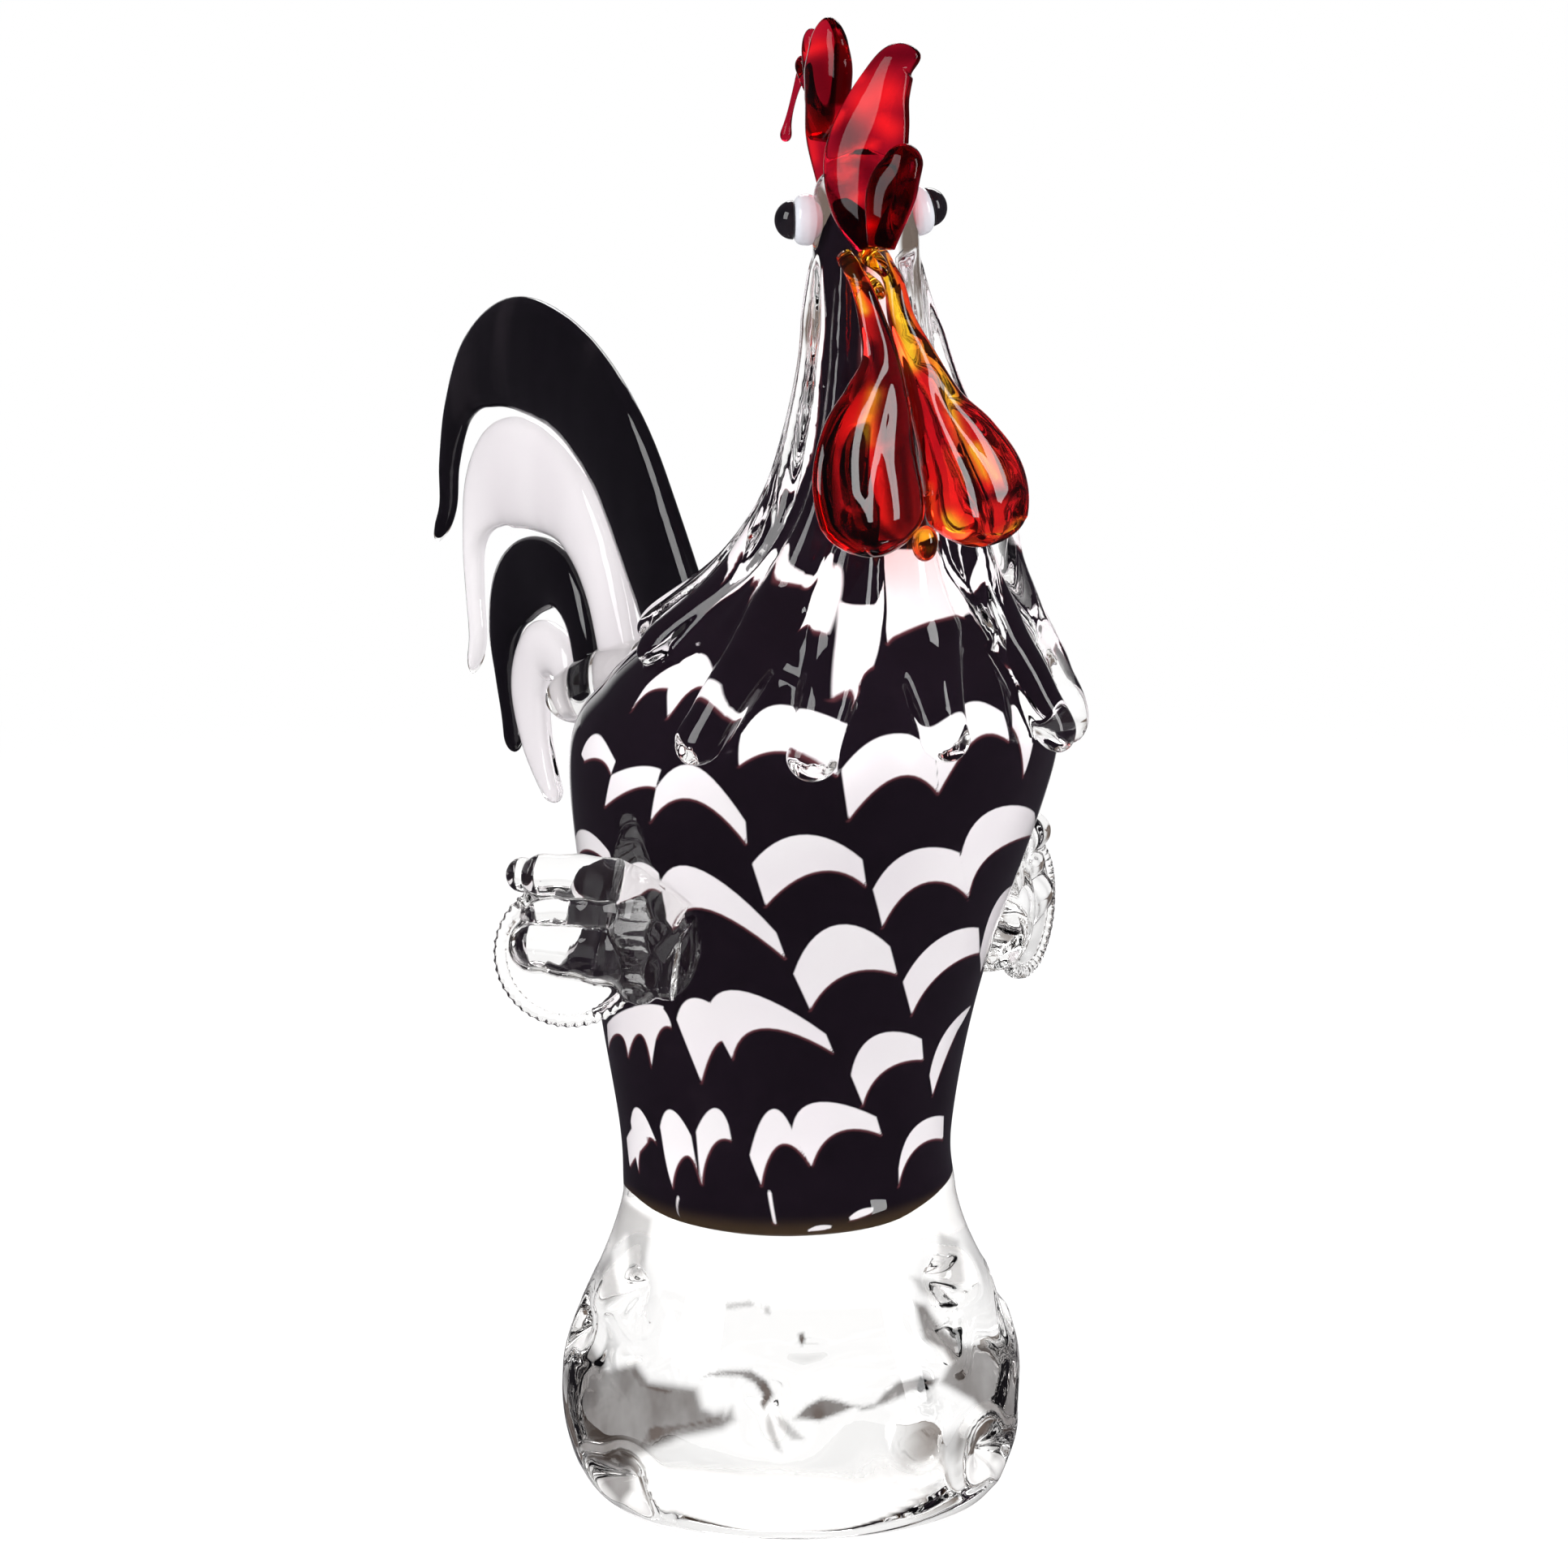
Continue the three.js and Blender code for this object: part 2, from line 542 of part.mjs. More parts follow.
function makeTail() {
  const stemRows = STEM_STATIONS.map((row) => [...row, STEM_HALF_THICKNESS]);
  const grownFirst = solid(strip(TAIL_FEATHERS[0], tailAnchor, { grow: JOINT_GAP }));
  const stem = cutBy(solid(strip(stemRows, tailAnchor, { steps: 8 })), grownBody, grownFirst);
  add("tail_stem", geometryOf(stem), CLEAR);
  const grownStem = solid(strip(stemRows, tailAnchor, { steps: 8, grow: JOINT_GAP }));
  TAIL_FEATHERS.forEach((stations, index) => {
    const feather = (grow, reach) => solid(strip(stations, tailAnchor, { grow, reach }));
    const grownLast = (last) => solid(strip(TAIL_FEATHERS[last], tailAnchor, { grow: JOINT_GAP }));
    const before = index === 0 ? [] : [grownStem, grownLast(index - 1)];
    const outside = cutBy(feather(0, 1), grownBody, ...before);
    const hollow = feather(-FEATHER_WALL, HOLLOW_REACH);
    const strand = feather(-FEATHER_WALL - JOINT_GAP, STRAND_REACH);
    const number = index + 1;
    add(`tail_feather_${number}_casing`, geometryOf(cutBy(outside, hollow)), CLEAR);
    const colour = index % 2 ? WHITE : BLACK;
    add(`tail_feather_${number}_core`, geometryOf(cutBy(strand, grownBody, ...before)), colour);
  });
}

// Head: eyes, comb, beak and wattles

function makeEyes() {
  const capped = (profile) => [
    new THREE.Vector2(0, profile[0].y), ...profile, new THREE.Vector2(0, profile.at(-1).y),
  ];
  const rim = new THREE.SplineCurve([
    new THREE.Vector2(EYE_WHITE_RADIUS * 0.7, -CASING_WALL),
    new THREE.Vector2(EYE_WHITE_RADIUS, 0.5),
    new THREE.Vector2(EYE_WHITE_RADIUS * 0.94, EYE_WHITE_STAND * 0.75),
    new THREE.Vector2(EYE_WHITE_RADIUS * 0.7, EYE_WHITE_STAND),
  ]);
  const whiteProfile = capped(rim.getPoints(7));
  const dome = (share) =>
    new THREE.Vector2(EYE_PUPIL_RADIUS * Math.sqrt(1 - share * share), EYE_PUPIL_STAND * share);
  const beadProfile = capped(heights(0, 0.97, 5).map(dome));
  for (const { name, sign, turn, tilt, aboveCheek, sink } of EYES) {
    const z = heightOf(CHEEK) + aboveCheek;
    const cheek = bodyAt(z);
    const surface = Math.sqrt(cheek.radius ** 2 - EYE_BACK ** 2) - sink;
    const place = (profile, stand) =>
      new THREE.LatheGeometry(profile, 16)
        .rotateZ((-sign * Math.PI) / 2)
        .translate(sign * stand, 0, 0)
        .rotateY(-sign * THREE.MathUtils.degToRad(tilt))
        .translate(sign * surface, EYE_BACK, 0)
        .rotateZ(THREE.MathUtils.degToRad(turn))
        .translate(0, cheek.centreY, z);
    add(`eye_white_${name}`, geometryOf(cutBy(solid(place(whiteProfile, 0)), grownBody)), WHITE);
    add(`eye_pupil_${name}`, place(beadProfile, EYE_WHITE_STAND + JOINT_GAP), BLACK);
  }
}

const headTop = new THREE.Vector3(COMB_SIDE_SHIFT, -HEAD_TOP.lean, heightOf(HEAD_TOP));
const cheekFront = onBody(0, heightOf(CHEEK));

// A rounded bit along [x, y, z, half width, half thickness] stations from an anchor. Its thickness lies
// along `across`.
function bit(stations, anchor, across, { grow = 0, steps = 9, sides = 10, roundFrom = 0.8 }) {
  const at = through(stations);
  return solid(
    sweep({
      path: (t) => new THREE.Vector3(...at(t).slice(0, 3)).add(anchor),
      across: new THREE.Vector3(...across),
      size: (t) => [at(t)[4] + grow, at(t)[3] + grow],
      steps,
      sides,
      roundFrom,
    }),
  );
}

function combLobe(index, grow) {
  const { stations, across } = COMB_LOBES[index];
  return bit(stations, headTop, across, { grow });
}

function makeComb() {
  COMB_LOBES.forEach((_, index) => {
    const before = COMB_LOBES.slice(0, index).map((__, earlier) => combLobe(earlier, JOINT_GAP));
    add(`comb_lobe_${index + 1}`, geometryOf(cutBy(combLobe(index, 0), grownBody, ...before)), RED);
  });
}

const DOWN_ACROSS = [0, -1, 0];

// A wattle on one side: its stations placed about the middle line.
function wattle(rows, sign, grow) {
  const stations = rows.map(([side, ...rest], i) => [WATTLE_MIDDLES[i] + sign * side, ...rest]);
  return bit(stations, cheekFront, DOWN_ACROSS, { grow, steps: 13, sides: 12, roundFrom: 0.84 });
}

function makeBeakAndWattles() {
  const beak = (stations, grow) => bit(stations, cheekFront, DOWN_ACROSS, { grow });
  const grownBlades = [combLobe(0, JOINT_GAP), combLobe(1, JOINT_GAP)];
  const grownBeak = [beak(BEAK_UPPER, JOINT_GAP), beak(BEAK_LOWER, JOINT_GAP)];
  add("beak_upper", geometryOf(cutBy(beak(BEAK_UPPER, 0), grownBody, ...grownBlades)), AMBER);
  add("beak_lower", geometryOf(
    cutBy(beak(BEAK_LOWER, 0), grownBody, ...grownBlades, grownBeak[0])), AMBER);
  const grownHackle = HACKLE_FEATHERS.map((_, index) => hackleFeather(index, JOINT_GAP));
  const others = [grownBody, ...grownBlades, ...grownBeak, ...grownHackle];
  const grownLeft = wattle(WATTLE_LEFT, 1, JOINT_GAP);
  add("wattle_left", geometryOf(cutBy(wattle(WATTLE_LEFT, 1, 0), ...others)), RED_AMBER);
  add("wattle_right", geometryOf(cutBy(wattle(WATTLE_RIGHT, -1, 0), ...others, grownLeft)), RED_AMBER);
}

// Wings

function makeWing(name, sign, rise) {
  const root = onBody(sign * WING_TURN, heightOf(BELLY) + rise);
  const back = THREE.MathUtils.degToRad(WING_SWEEP);
  const outwards = new THREE.Vector3(sign * Math.cos(back), Math.sin(back), 0);
  const front = new THREE.Vector3(sign * Math.sin(back), -Math.cos(back), 0);
  const at = (reach, lift, forward = 0) =>
    root.clone().addScaledVector(outwards, reach).addScaledVector(front, forward).setZ(root.z + lift);
  const placed = (geometry, place) => geometry.rotateZ(sign * back).translate(place.x, place.y, place.z);

  const { halfReach, halfThickness, halfHeight } = WING_ROOT;
  const rootBody = placed(
    new THREE.SphereGeometry(1, 20, 14).scale(halfReach, halfThickness, halfHeight),
    at(WING_ROOT.reach, WING_ROOT.lift),
  );
  const { radius, halfThickness: half, edgeHalfThickness: edge } = WING_FIN;
  const finProfile = [
    [0, -half], [radius * 0.6, -half * 0.9], [radius, -edge],
    [radius, edge], [radius * 0.6, half * 0.9], [0, half],
  ].map(([x, y]) => new THREE.Vector2(x, y));
  const fin = placed(new THREE.LatheGeometry(finProfile, 26), at(WING_FIN.reach, WING_FIN.lift));
  const knob = placed(
    new THREE.SphereGeometry(WING_KNOB.radius, 12, 8),
    at(WING_KNOB.reach, WING_KNOB.lift, WING_KNOB.forward),
  );
  const rolls = WING_ROLLS.map(({ ratio, stations }) => {
    const along = through(stations);
    return sweep({
      path: (t) => at(...along(t).slice(0, 3)),
      across: front,
      size: (t) => [along(t)[3] * ratio, along(t)[3]],
      steps: 9,
      sides: 12,
      roundFrom: 0.84,
    });
  });
  const whole = [fin, knob, ...rolls].reduce((sum, geometry) => sum.add(solid(geometry)), solid(rootBody));
  add(`wing_${name}`, geometryOf(cutBy(whole, grownBody)), CLEAR);
}

function makeWings() {
  makeWing("left", 1, WING_LEFT_ABOVE_BELLY);
  makeWing("right", -1, WING_RIGHT_ABOVE_BELLY);
}

makeFoot();
makeCore();
makeCasing();
makeHackle();
makeWings();
makeTail();
makeEyes();
makeComb();
makeBeakAndWattles();

export default rooster;
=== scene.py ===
import math

import bmesh
import bpy
import numpy as np
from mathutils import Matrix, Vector, noise


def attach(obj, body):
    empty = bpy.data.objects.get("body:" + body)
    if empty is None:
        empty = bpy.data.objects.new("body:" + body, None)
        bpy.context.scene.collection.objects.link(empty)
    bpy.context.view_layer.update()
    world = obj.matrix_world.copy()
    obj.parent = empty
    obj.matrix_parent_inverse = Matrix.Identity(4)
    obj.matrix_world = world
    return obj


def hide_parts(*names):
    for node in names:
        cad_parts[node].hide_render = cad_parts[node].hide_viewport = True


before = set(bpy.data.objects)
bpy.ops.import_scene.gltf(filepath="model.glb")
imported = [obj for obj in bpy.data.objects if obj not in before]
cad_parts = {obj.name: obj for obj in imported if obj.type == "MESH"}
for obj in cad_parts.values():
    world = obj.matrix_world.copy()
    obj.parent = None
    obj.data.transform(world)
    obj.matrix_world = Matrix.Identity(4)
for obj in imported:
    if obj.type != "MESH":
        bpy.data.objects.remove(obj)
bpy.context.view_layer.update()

# Lengths below are in millimetres in the part's frame, and MM takes them to metres.
# A turn is an angle about the upright axis, 0 at the breast and growing toward the bird's left.
MM = 0.001
GLASS_IOR = 1.5
# A lower index mirrors the lamps less, for the comb's broad blades
SOFT_SHINE_IOR = 1.28


# Camera at the photograph's viewing angle

IMAGE_SIDE = 1932
IMAGE_CENTRE = IMAGE_SIDE / 2
FOCAL_PIXELS = 6300
CAMERA_AZIMUTH = -33
CAMERA_ELEVATION = 11
CAMERA_DISTANCE = 1000
CAMERA_TARGET = np.array([-1.641, 1.066, 143.28])

azimuth = math.radians(CAMERA_AZIMUTH)
elevation = math.radians(CAMERA_ELEVATION)
look_level = np.array([-math.sin(azimuth), math.cos(azimuth), 0.0])
look = look_level * math.cos(elevation) - np.array([0, 0, math.sin(elevation)])
look_right = np.array([math.cos(azimuth), math.sin(azimuth), 0.0])
look_up = np.cross(look_right, look)
eye = CAMERA_TARGET - look * CAMERA_DISTANCE


def add_object(name, data):
    thing = bpy.data.objects.new(name, data)
    bpy.context.scene.collection.objects.link(thing)
    return thing


def make_camera():
    data = bpy.data.cameras.new("camera")
    data.sensor_width = 36
    data.lens = FOCAL_PIXELS / IMAGE_SIDE * data.sensor_width
    data.clip_start = 0.05
    data.clip_end = 60
    camera = add_object("camera", data)
    camera.location = Vector(eye * MM)
    camera.rotation_euler = (math.pi / 2 - elevation, 0, azimuth)
    bpy.context.scene.camera = camera


def pixel_ray(x, y):
    """The way that a pixel of the picture looks."""
    return unit(look * FOCAL_PIXELS + look_right * (x - IMAGE_CENTRE) - look_up * (y - IMAGE_CENTRE))


def to_pixels(points):
    """Where points of the frame fall in the picture."""
    away = np.asarray(points, float) - eye
    depth = away @ look
    return np.stack([
        IMAGE_CENTRE + FOCAL_PIXELS * (away @ look_right) / depth,
        IMAGE_CENTRE - FOCAL_PIXELS * (away @ look_up) / depth,
    ], 1)


# Curves and meshes

def unit(vector):
    return vector / np.linalg.norm(vector)


def smoothstep(value, low, high):
    """0 at low and 1 at high, with a soft step between."""
    share = np.clip((np.asarray(value, float) - low) / (high - low), 0, 1)
    return share * share * (3 - 2 * share)


def through(rows):
    """A smooth function of 0 to 1 through rows of numbers."""
    rows = np.array(rows, float)
    rows = rows.reshape(len(rows), -1)

    def at(t):
        place = min(max(t, 0.0), 1.0) * (len(rows) - 1)
        low = min(int(place), len(rows) - 2)
        p1, p2 = rows[low], rows[low + 1]
        p0 = rows[low - 1] if low > 0 else 2 * p1 - p2
        p3 = rows[low + 2] if low + 2 < len(rows) else 2 * p2 - p1
        f = place - low
        return 0.5 * (
            2 * p1
            + (p2 - p0) * f
            + (2 * p0 - 5 * p1 + 4 * p2 - p3) * f * f
            + (3 * p1 - p0 - 3 * p2 + p3) * f * f * f
        )

    return at


def closed_tube(rings):
    """Vertices and faces of a closed body from rings of equal length, each end closed by a fan."""
    rings = np.array(rings, float)
    rows, columns, _ = rings.shape
    vertices = np.vstack([rings.reshape(-1, 3), rings[0].mean(0), rings[-1].mean(0)])
    first, last = rows * columns, rows * columns + 1
    top = (rows - 1) * columns
    neighbours = [(column, (column + 1) % columns) for column in range(columns)]
    faces = [
        (low + a, low + b, low + columns + b, low + columns + a)
        for low in range(0, top, columns) for a, b in neighbours
    ]
    for a, b in neighbours:
        faces += [(first, b, a), (last, top + a, top + b)]
    return vertices, faces


def sweep(path, across, size, steps, sides, round_from, square=2.0, swell=None):
    """A closed body along a path of 0 to 1, with a round end.

    size(t) gives its half size along across and at right angles to it. A square of 2 makes an oval
    section, and more makes it fuller at the corners. swell(t, angles) scales the section's points.
    """
    across = np.array(across, float)
    rings = []
    angles = np.arange(sides) * 2 * math.pi / sides
    power = 2.0 / square
    cosines = np.sign(np.cos(angles)) * np.abs(np.cos(angles)) ** power
    sines = np.sign(np.sin(angles)) * np.abs(np.sin(angles)) ** power
    for step in range(steps + 1):
        even = step / steps
        # the steps grow shorter toward the round end
        share = min(0.45 * even + 0.55 * math.sin(even * math.pi / 2), 0.9995)
        ahead = np.array(path(min(share + 0.004, 1)), float)
        behind = np.array(path(max(share - 0.004, 0)), float)
        tangent = unit(ahead - behind)
        normal = unit(np.cross(tangent, across))
        side = np.cross(normal, tangent)
        past = max(0.0, (share - round_from) / (1 - round_from))
        half_side, half_normal = np.array(size(share), float) * math.sqrt(1 - past * past)
        scale = 1.0 if swell is None else swell(share, angles)
        rings.append(
            np.array(path(share), float)
            + np.outer(cosines * half_side * scale, side)
            + np.outer(sines * half_normal * scale, normal)
        )
    return closed_tube(rings)


def joined(parts):
    vertices, faces = [], []
    count = 0
    for part_vertices, part_faces in parts:
        vertices.append(part_vertices)
        faces.extend([tuple(i + count for i in face) for face in part_faces])
        count += len(part_vertices)
    return np.vstack(vertices), faces


def make_piece(name, shape, material, replaces):
    """An object of the scene that takes the place of solids of the part."""
    vertices, faces = shape
    mesh = bpy.data.meshes.new(name)
    mesh.from_pydata((vertices * MM).tolist(), [], faces)
    mesh.validate()
    piece = add_object(name, mesh)
    mesh.materials.append(material)
    mesh.polygons.foreach_set("use_smooth", [True] * len(mesh.polygons))
    outward(mesh)
    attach(piece, "root")
    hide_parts(*replaces)
    return piece


def make_bit(name, shape, material):
    """A piece that takes the place of one solid and is named after it."""
    return make_piece(f"{name}_glass", shape, material, [name])


def outward(mesh):
    """Turns every face of a closed mesh to the outside."""
    work = bmesh.new()
    work.from_mesh(mesh)
    bmesh.ops.recalc_face_normals(work, faces=work.faces)
    work.to_mesh(mesh)
    work.free()


def add_values(piece, name, values):
    """Gives each point of a mesh a value that its material reads."""
    attribute = piece.data.attributes.new(name, "FLOAT", "POINT")
    attribute.data.foreach_set("value", np.asarray(values, np.float32))


def point_rows(mesh, name):
    """Places or normals of a mesh's points."""
    values = np.zeros(len(mesh.vertices) * 3)
    mesh.vertices.foreach_get(name, values)
    return values.reshape(-1, 3)


def fuse(piece, voxel, evenings):
    """Melts the overlapping bodies of a piece into one smooth skin."""
    melt = piece.modifiers.new("melt", "REMESH")
    melt.mode = "VOXEL"
    melt.voxel_size = voxel * MM
    melt.use_smooth_shade = True
    even = piece.modifiers.new("even", "SMOOTH")
    even.factor = 0.5
    even.iterations = evenings
    graph = bpy.context.evaluated_depsgraph_get()
    skin = bpy.data.meshes.new_from_object(piece.evaluated_get(graph))
    material = piece.data.materials[0]
    piece.modifiers.clear()
    piece.data = skin
    if not skin.materials:
        skin.materials.append(material)
    skin.polygons.foreach_set("use_smooth", [True] * len(skin.polygons))


# Materials

WHITE = (1.0, 1.0, 1.0)
BLACK = (0.0, 0.0, 0.0)
# Painted shade: the dark of the room that the foot bends into view, painted into its glass's tint
FOOT_PAINTED_DARK = (0.025, 0.017, 0.014)
# The foot's underside is ground matt up to the lower height, in metres, and clear from the higher one
GROUND_HEIGHTS = (0.0018, 0.0030)
# Colour that lies under clear glass has no shine of its own
UNDER_GLASS = {"Specular IOR Level": 0, "IOR": 1.0, "Roughness": 0.9}


class Nodes:
    """A small helper to write a tree of nodes."""

    def __init__(self, tree):
        self.tree = tree
        tree.nodes.clear()

    def add(self, kind, inputs=(), **properties):
        """A node with its properties set, and its inputs set or linked."""
        node = self.tree.nodes.new(kind)
        for name, value in properties.items():
            setattr(node, name, value)
        for socket, value in dict(inputs).items():
            self.put(value, node.inputs[socket])
        return node

    def put(self, value, socket):
        """Sets a socket to a number or a colour, or links it."""
        if isinstance(value, tuple):
            socket.default_value = (*value, 1)
        elif isinstance(value, (int, float)):
            socket.default_value = value
        else:
            self.tree.links.new(value, socket)

    def math(self, operation, first, second=0.0):
        node = self.add("ShaderNodeMath", {0: first, 1: second}, operation=operation)
        return node.outputs["Value"]

    def times(self, first, second):
        return self.math("MULTIPLY", first, second)

    def fade(self, value, low, high):
        """0 at low and 1 at high, with a soft step between."""
        inputs = {"Value": value, "From Min": low, "From Max": high}
        node = self.add("ShaderNodeMapRange", inputs, interpolation_type="SMOOTHSTEP")
        return node.outputs["Result"]

    def place(self):
        return self.add("ShaderNodeTexCoord").outputs["Object"]

    def dot(self, vector, way):
        node = self.add("ShaderNodeVectorMath", {0: vector}, operation="DOT_PRODUCT")
        node.inputs[1].default_value = tuple(way)
        return node.outputs["Value"]

    def attribute(self, name):
        """A value that the mesh holds at its points."""
        return self.add("ShaderNodeAttribute", attribute_name=name).outputs["Fac"]

    def mixed(self, factor, first, second):
        """A colour between two."""
        node = self.add("ShaderNodeMix", {0: factor, 6: first, 7: second}, data_type="RGBA")
        return node.outputs[2]

    def marked(self, colour, marks):
        """A colour with marks of other tints, each where the mesh's value of its name says."""
        for name, tint in marks.items():
            colour = self.mixed(self.attribute(name), colour, tint)
        return colour

    def grain(self, scale, detail, stretch=(1, 1, 1)):
        """Soft noise, drawn out along an axis where its stretch is small."""
        mapping = self.add("ShaderNodeMapping", {"Vector": self.place()})
        mapping.inputs["Scale"].default_value = stretch
        inputs = {"Vector": mapping.outputs["Vector"], "Scale": scale, "Detail": detail}
        return self.add("ShaderNodeTexNoise", inputs).outputs["Fac"]

    def ramp(self, source, stops):
        """Colours by their places from 0 to 1."""
        node = self.add("ShaderNodeValToRGB", {"Fac": source})
        elements = node.color_ramp.elements
        while len(elements) < len(stops):
            elements.new(0.5)
        for element, (place, colour) in zip(elements, stops):
            element.position = place
            element.color = (*colour, 1)
        return node.outputs["Color"]

    def waves(self, scale, strength, distance):
        """The uneven skin of glass worked by hand."""
        inputs = {"Strength": strength, "Distance": distance, "Height": self.grain(scale, 1)}
        return self.add("ShaderNodeBump", inputs).outputs["Normal"]

    def shader(self, inputs):
        return self.add("ShaderNodeBsdfPrincipled", inputs).outputs["BSDF"]

    def blend(self, factor, first, second):
        """A surface between two."""
        return self.add("ShaderNodeMixShader", {0: factor, 1: first, 2: second}).outputs["Shader"]

    def glow(self, colour):
        return self.add("ShaderNodeEmission", {"Color": colour}).outputs["Emission"]

    def surface(self, shader, lamp_tint=None):
        """Makes the output. With a tint, lamps reach what lies inside or under the glass."""
        if lamp_tint:
            path = self.add("ShaderNodeLightPath")
            open_way = self.add("ShaderNodeBsdfTransparent", {"Color": lamp_tint})
            shader = self.blend(path.outputs["Is Shadow Ray"], shader, open_way.outputs["BSDF"])
        return self.add("ShaderNodeOutputMaterial", {"Surface": shader})


def new_material(name):
    material = bpy.data.materials.new(name)
    material.use_nodes = True
    return material, Nodes(material.node_tree)


def grey(value):
    return (value, value, value)


def clear_glass(name, waves=45, strength=0.12, is_body=False):
    """Clear glass with edges painted greyer as shade, and a waved skin. The body's foot has painted shade
    and is ground below.
    """
    material, nodes = new_material(name)
    # painted shade: the edges are painted greyer, standing in for the dark room that they bend into view
    facing = nodes.add("ShaderNodeLayerWeight", {"Blend": 0.35}).outputs["Facing"]
    tint = nodes.ramp(facing, [
        (0.0, (1.0, 0.995, 0.985)), (0.55, (0.99, 0.985, 0.98)), (1.0, (0.62, 0.6, 0.6)),
    ])
    inputs = {
        "Roughness": nodes.ramp(nodes.grain(60, 3), [(0.5, BLACK), (1.0, grey(0.03))]),
        "IOR": GLASS_IOR,
        "Transmission Weight": 1,
        "Normal": nodes.waves(waves, strength, 0.004),
    }
    if is_body:
        # painted shade: the dark of the room that the foot bends into view, mottled and painted into the
        # glass's tint
        mottle = nodes.math("ADD", nodes.times(nodes.grain(110, 3, (1, 1, 0.6)), 0.3), 0.84)
        painted_shade = nodes.math("MINIMUM", nodes.times(nodes.attribute("shade"), mottle), 1.0)
        tint = nodes.mixed(painted_shade, tint, FOOT_PAINTED_DARK)
        matt = nodes.fade(nodes.dot(nodes.place(), (0, 0, 1)), GROUND_HEIGHTS[1], GROUND_HEIGHTS[0])
        unground = nodes.math("SUBTRACT", 1.0, matt)
        inputs["Roughness"] = nodes.math("ADD", nodes.times(matt, 0.6), inputs["Roughness"])
        inputs["Transmission Weight"] = unground
        inputs["Specular IOR Level"] = nodes.times(unground, 0.5)
    nodes.surface(nodes.shader({"Base Color": tint, **inputs}), (0.96, 0.955, 0.95))
    return material


def coloured_glass(name, tints, density, keeps, marks, grain=60, stretch=(1, 1, 0.4), ior=GLASS_IOR):
    """Glass that takes colour with depth, with streaks of the tints drawn along it, and marks."""
    material, nodes = new_material(name)
    tint = nodes.ramp(nodes.grain(grain, 2, stretch), tints)
    shader = nodes.shader({
        "Base Color": nodes.marked(tint, marks),
        "Roughness": nodes.ramp(nodes.grain(70, 3), [(0.5, BLACK), (1.0, grey(0.05))]),
        "IOR": ior,
        "Transmission Weight": 1,
        "Normal": nodes.waves(70, 0.1, 0.003),
    })
    output = nodes.surface(shader, keeps)
    volume = nodes.add("ShaderNodeVolumeAbsorption", {"Color": keeps, "Density": density})
    nodes.put(volume.outputs["Volume"], output.inputs["Volume"])
    return material


def cased_colour(name, tints):
    """Opaque colour under clear glass."""
    material, nodes = new_material(name)
    tint = nodes.ramp(nodes.grain(60, 3, (1, 1, 0.2)), tints)
    nodes.surface(nodes.shader({"Base Color": tint, **UNDER_GLASS}))
    return material


def opaque_glass(name, tints):
    material, nodes = new_material(name)
    nodes.surface(nodes.shader({
        "Base Color": nodes.ramp(nodes.grain(200, 3), tints),
        "Roughness": nodes.ramp(nodes.grain(300, 2), [(0.4, grey(0.03)), (0.8, grey(0.09))]),
        "IOR": GLASS_IOR,
        "Normal": nodes.waves(160, 0.08, 0.002),
    }))
    return material


def feathered_glass():
    """Black glass with combed white. The mesh says how deep in the white a point lies, in millimetres."""
    material, nodes = new_material("feathered_glass")
    depth = nodes.attribute("white_depth")
    white = nodes.ramp(nodes.grain(50, 3), [(0.3, (0.95, 0.9, 0.94)), (0.7, (0.99, 0.96, 0.98))])
    black = nodes.ramp(nodes.grain(35, 4), [
        (0.3, (0.007, 0.0042, 0.0075)), (0.62, (0.01, 0.006, 0.0105)), (0.8, (0.018, 0.012, 0.017)),
    ])
    # the brown-red run-out below each white patch
    run_out = nodes.times(nodes.fade(depth, -0.7, 0.25), nodes.attribute("fringe"))
    dark = nodes.mixed(run_out, black, (0.17, 0.05, 0.06))
    # the underside's painted light from below (under, pale), and the black thinning to brown (warm)
    tint = nodes.marked(nodes.mixed(nodes.fade(depth, -0.12, 0.28), dark, white), {
        "warm": (0.055, 0.035, 0.02), "under": (0.2, 0.17, 0.155), "pale": (0.85, 0.82, 0.8),
    })
    nodes.surface(nodes.shader({"Base Color": tint, **UNDER_GLASS}))
    return material


# Body outline: height, radius, how far the centre lies back (+Y), and the casing's wall.
# The core draws in under the hackle, where the clear glass is thickest.

BODY_STATIONS = [
    (61, 33, 1.5, 3.2), (75, 33, 3, 3.2), (105, 38.2, 2, 3.2), (150, 47.2, -6.5, 3.2),
    (166, 42.5, -12, 3.9), (178, 33, -17, 9.5), (190, 23, -21, 11.2), (206, 15, -25, 6.7),
    (229, 10.3, -25.5, 3.9), (254, 10, -24.5, 4), (263, 8.6, -24.5, 4), (268.5, 0.4, -24.5, 0.2),
]
CORE_TOP = 259
CORE_TAPER = 18
# In the neck the core runs off the middle, to the bird's right and back
CORE_DRIFT = (-1.7, 1.1)
CORE_DRIFT_HEIGHTS = (178, 206)
# The core ends in a round bowl in the waist
CORE_BOTTOM = 54
CORE_BOWL_TOP = 76
CORE_BOWL_POWER = 2.3
FOOT_HEIGHT = 61
WAIST_BACK = 1.5
# Two curves up the foot's side, by points of radius and height
FOOT_SIDE = [
    [(36, 0), (41.9, 0.5), (45.7, 11), (45.7, 22)],
    [(45.7, 22), (45.7, 38), (36, 46), (33, FOOT_HEIGHT)],
]

body_curve = through([station[:3] for station in BODY_STATIONS])
body_rows = np.array([body_curve(t) for t in np.linspace(0, 1, 1500)])


def body_radius(z):
    return np.interp(z, body_rows[:, 0], body_rows[:, 1])


def body_centre(z):
    return np.interp(z, body_rows[:, 0], body_rows[:, 2])


def wall_at(z):
    """The casing's wall over the core."""
    wall = BODY_STATIONS[0][3] + 0 * np.asarray(z, float)
    for low, high in zip(BODY_STATIONS, BODY_STATIONS[1:]):
        wall = wall + (high[3] - low[3]) * smoothstep(z, low[0], high[0])
    return wall


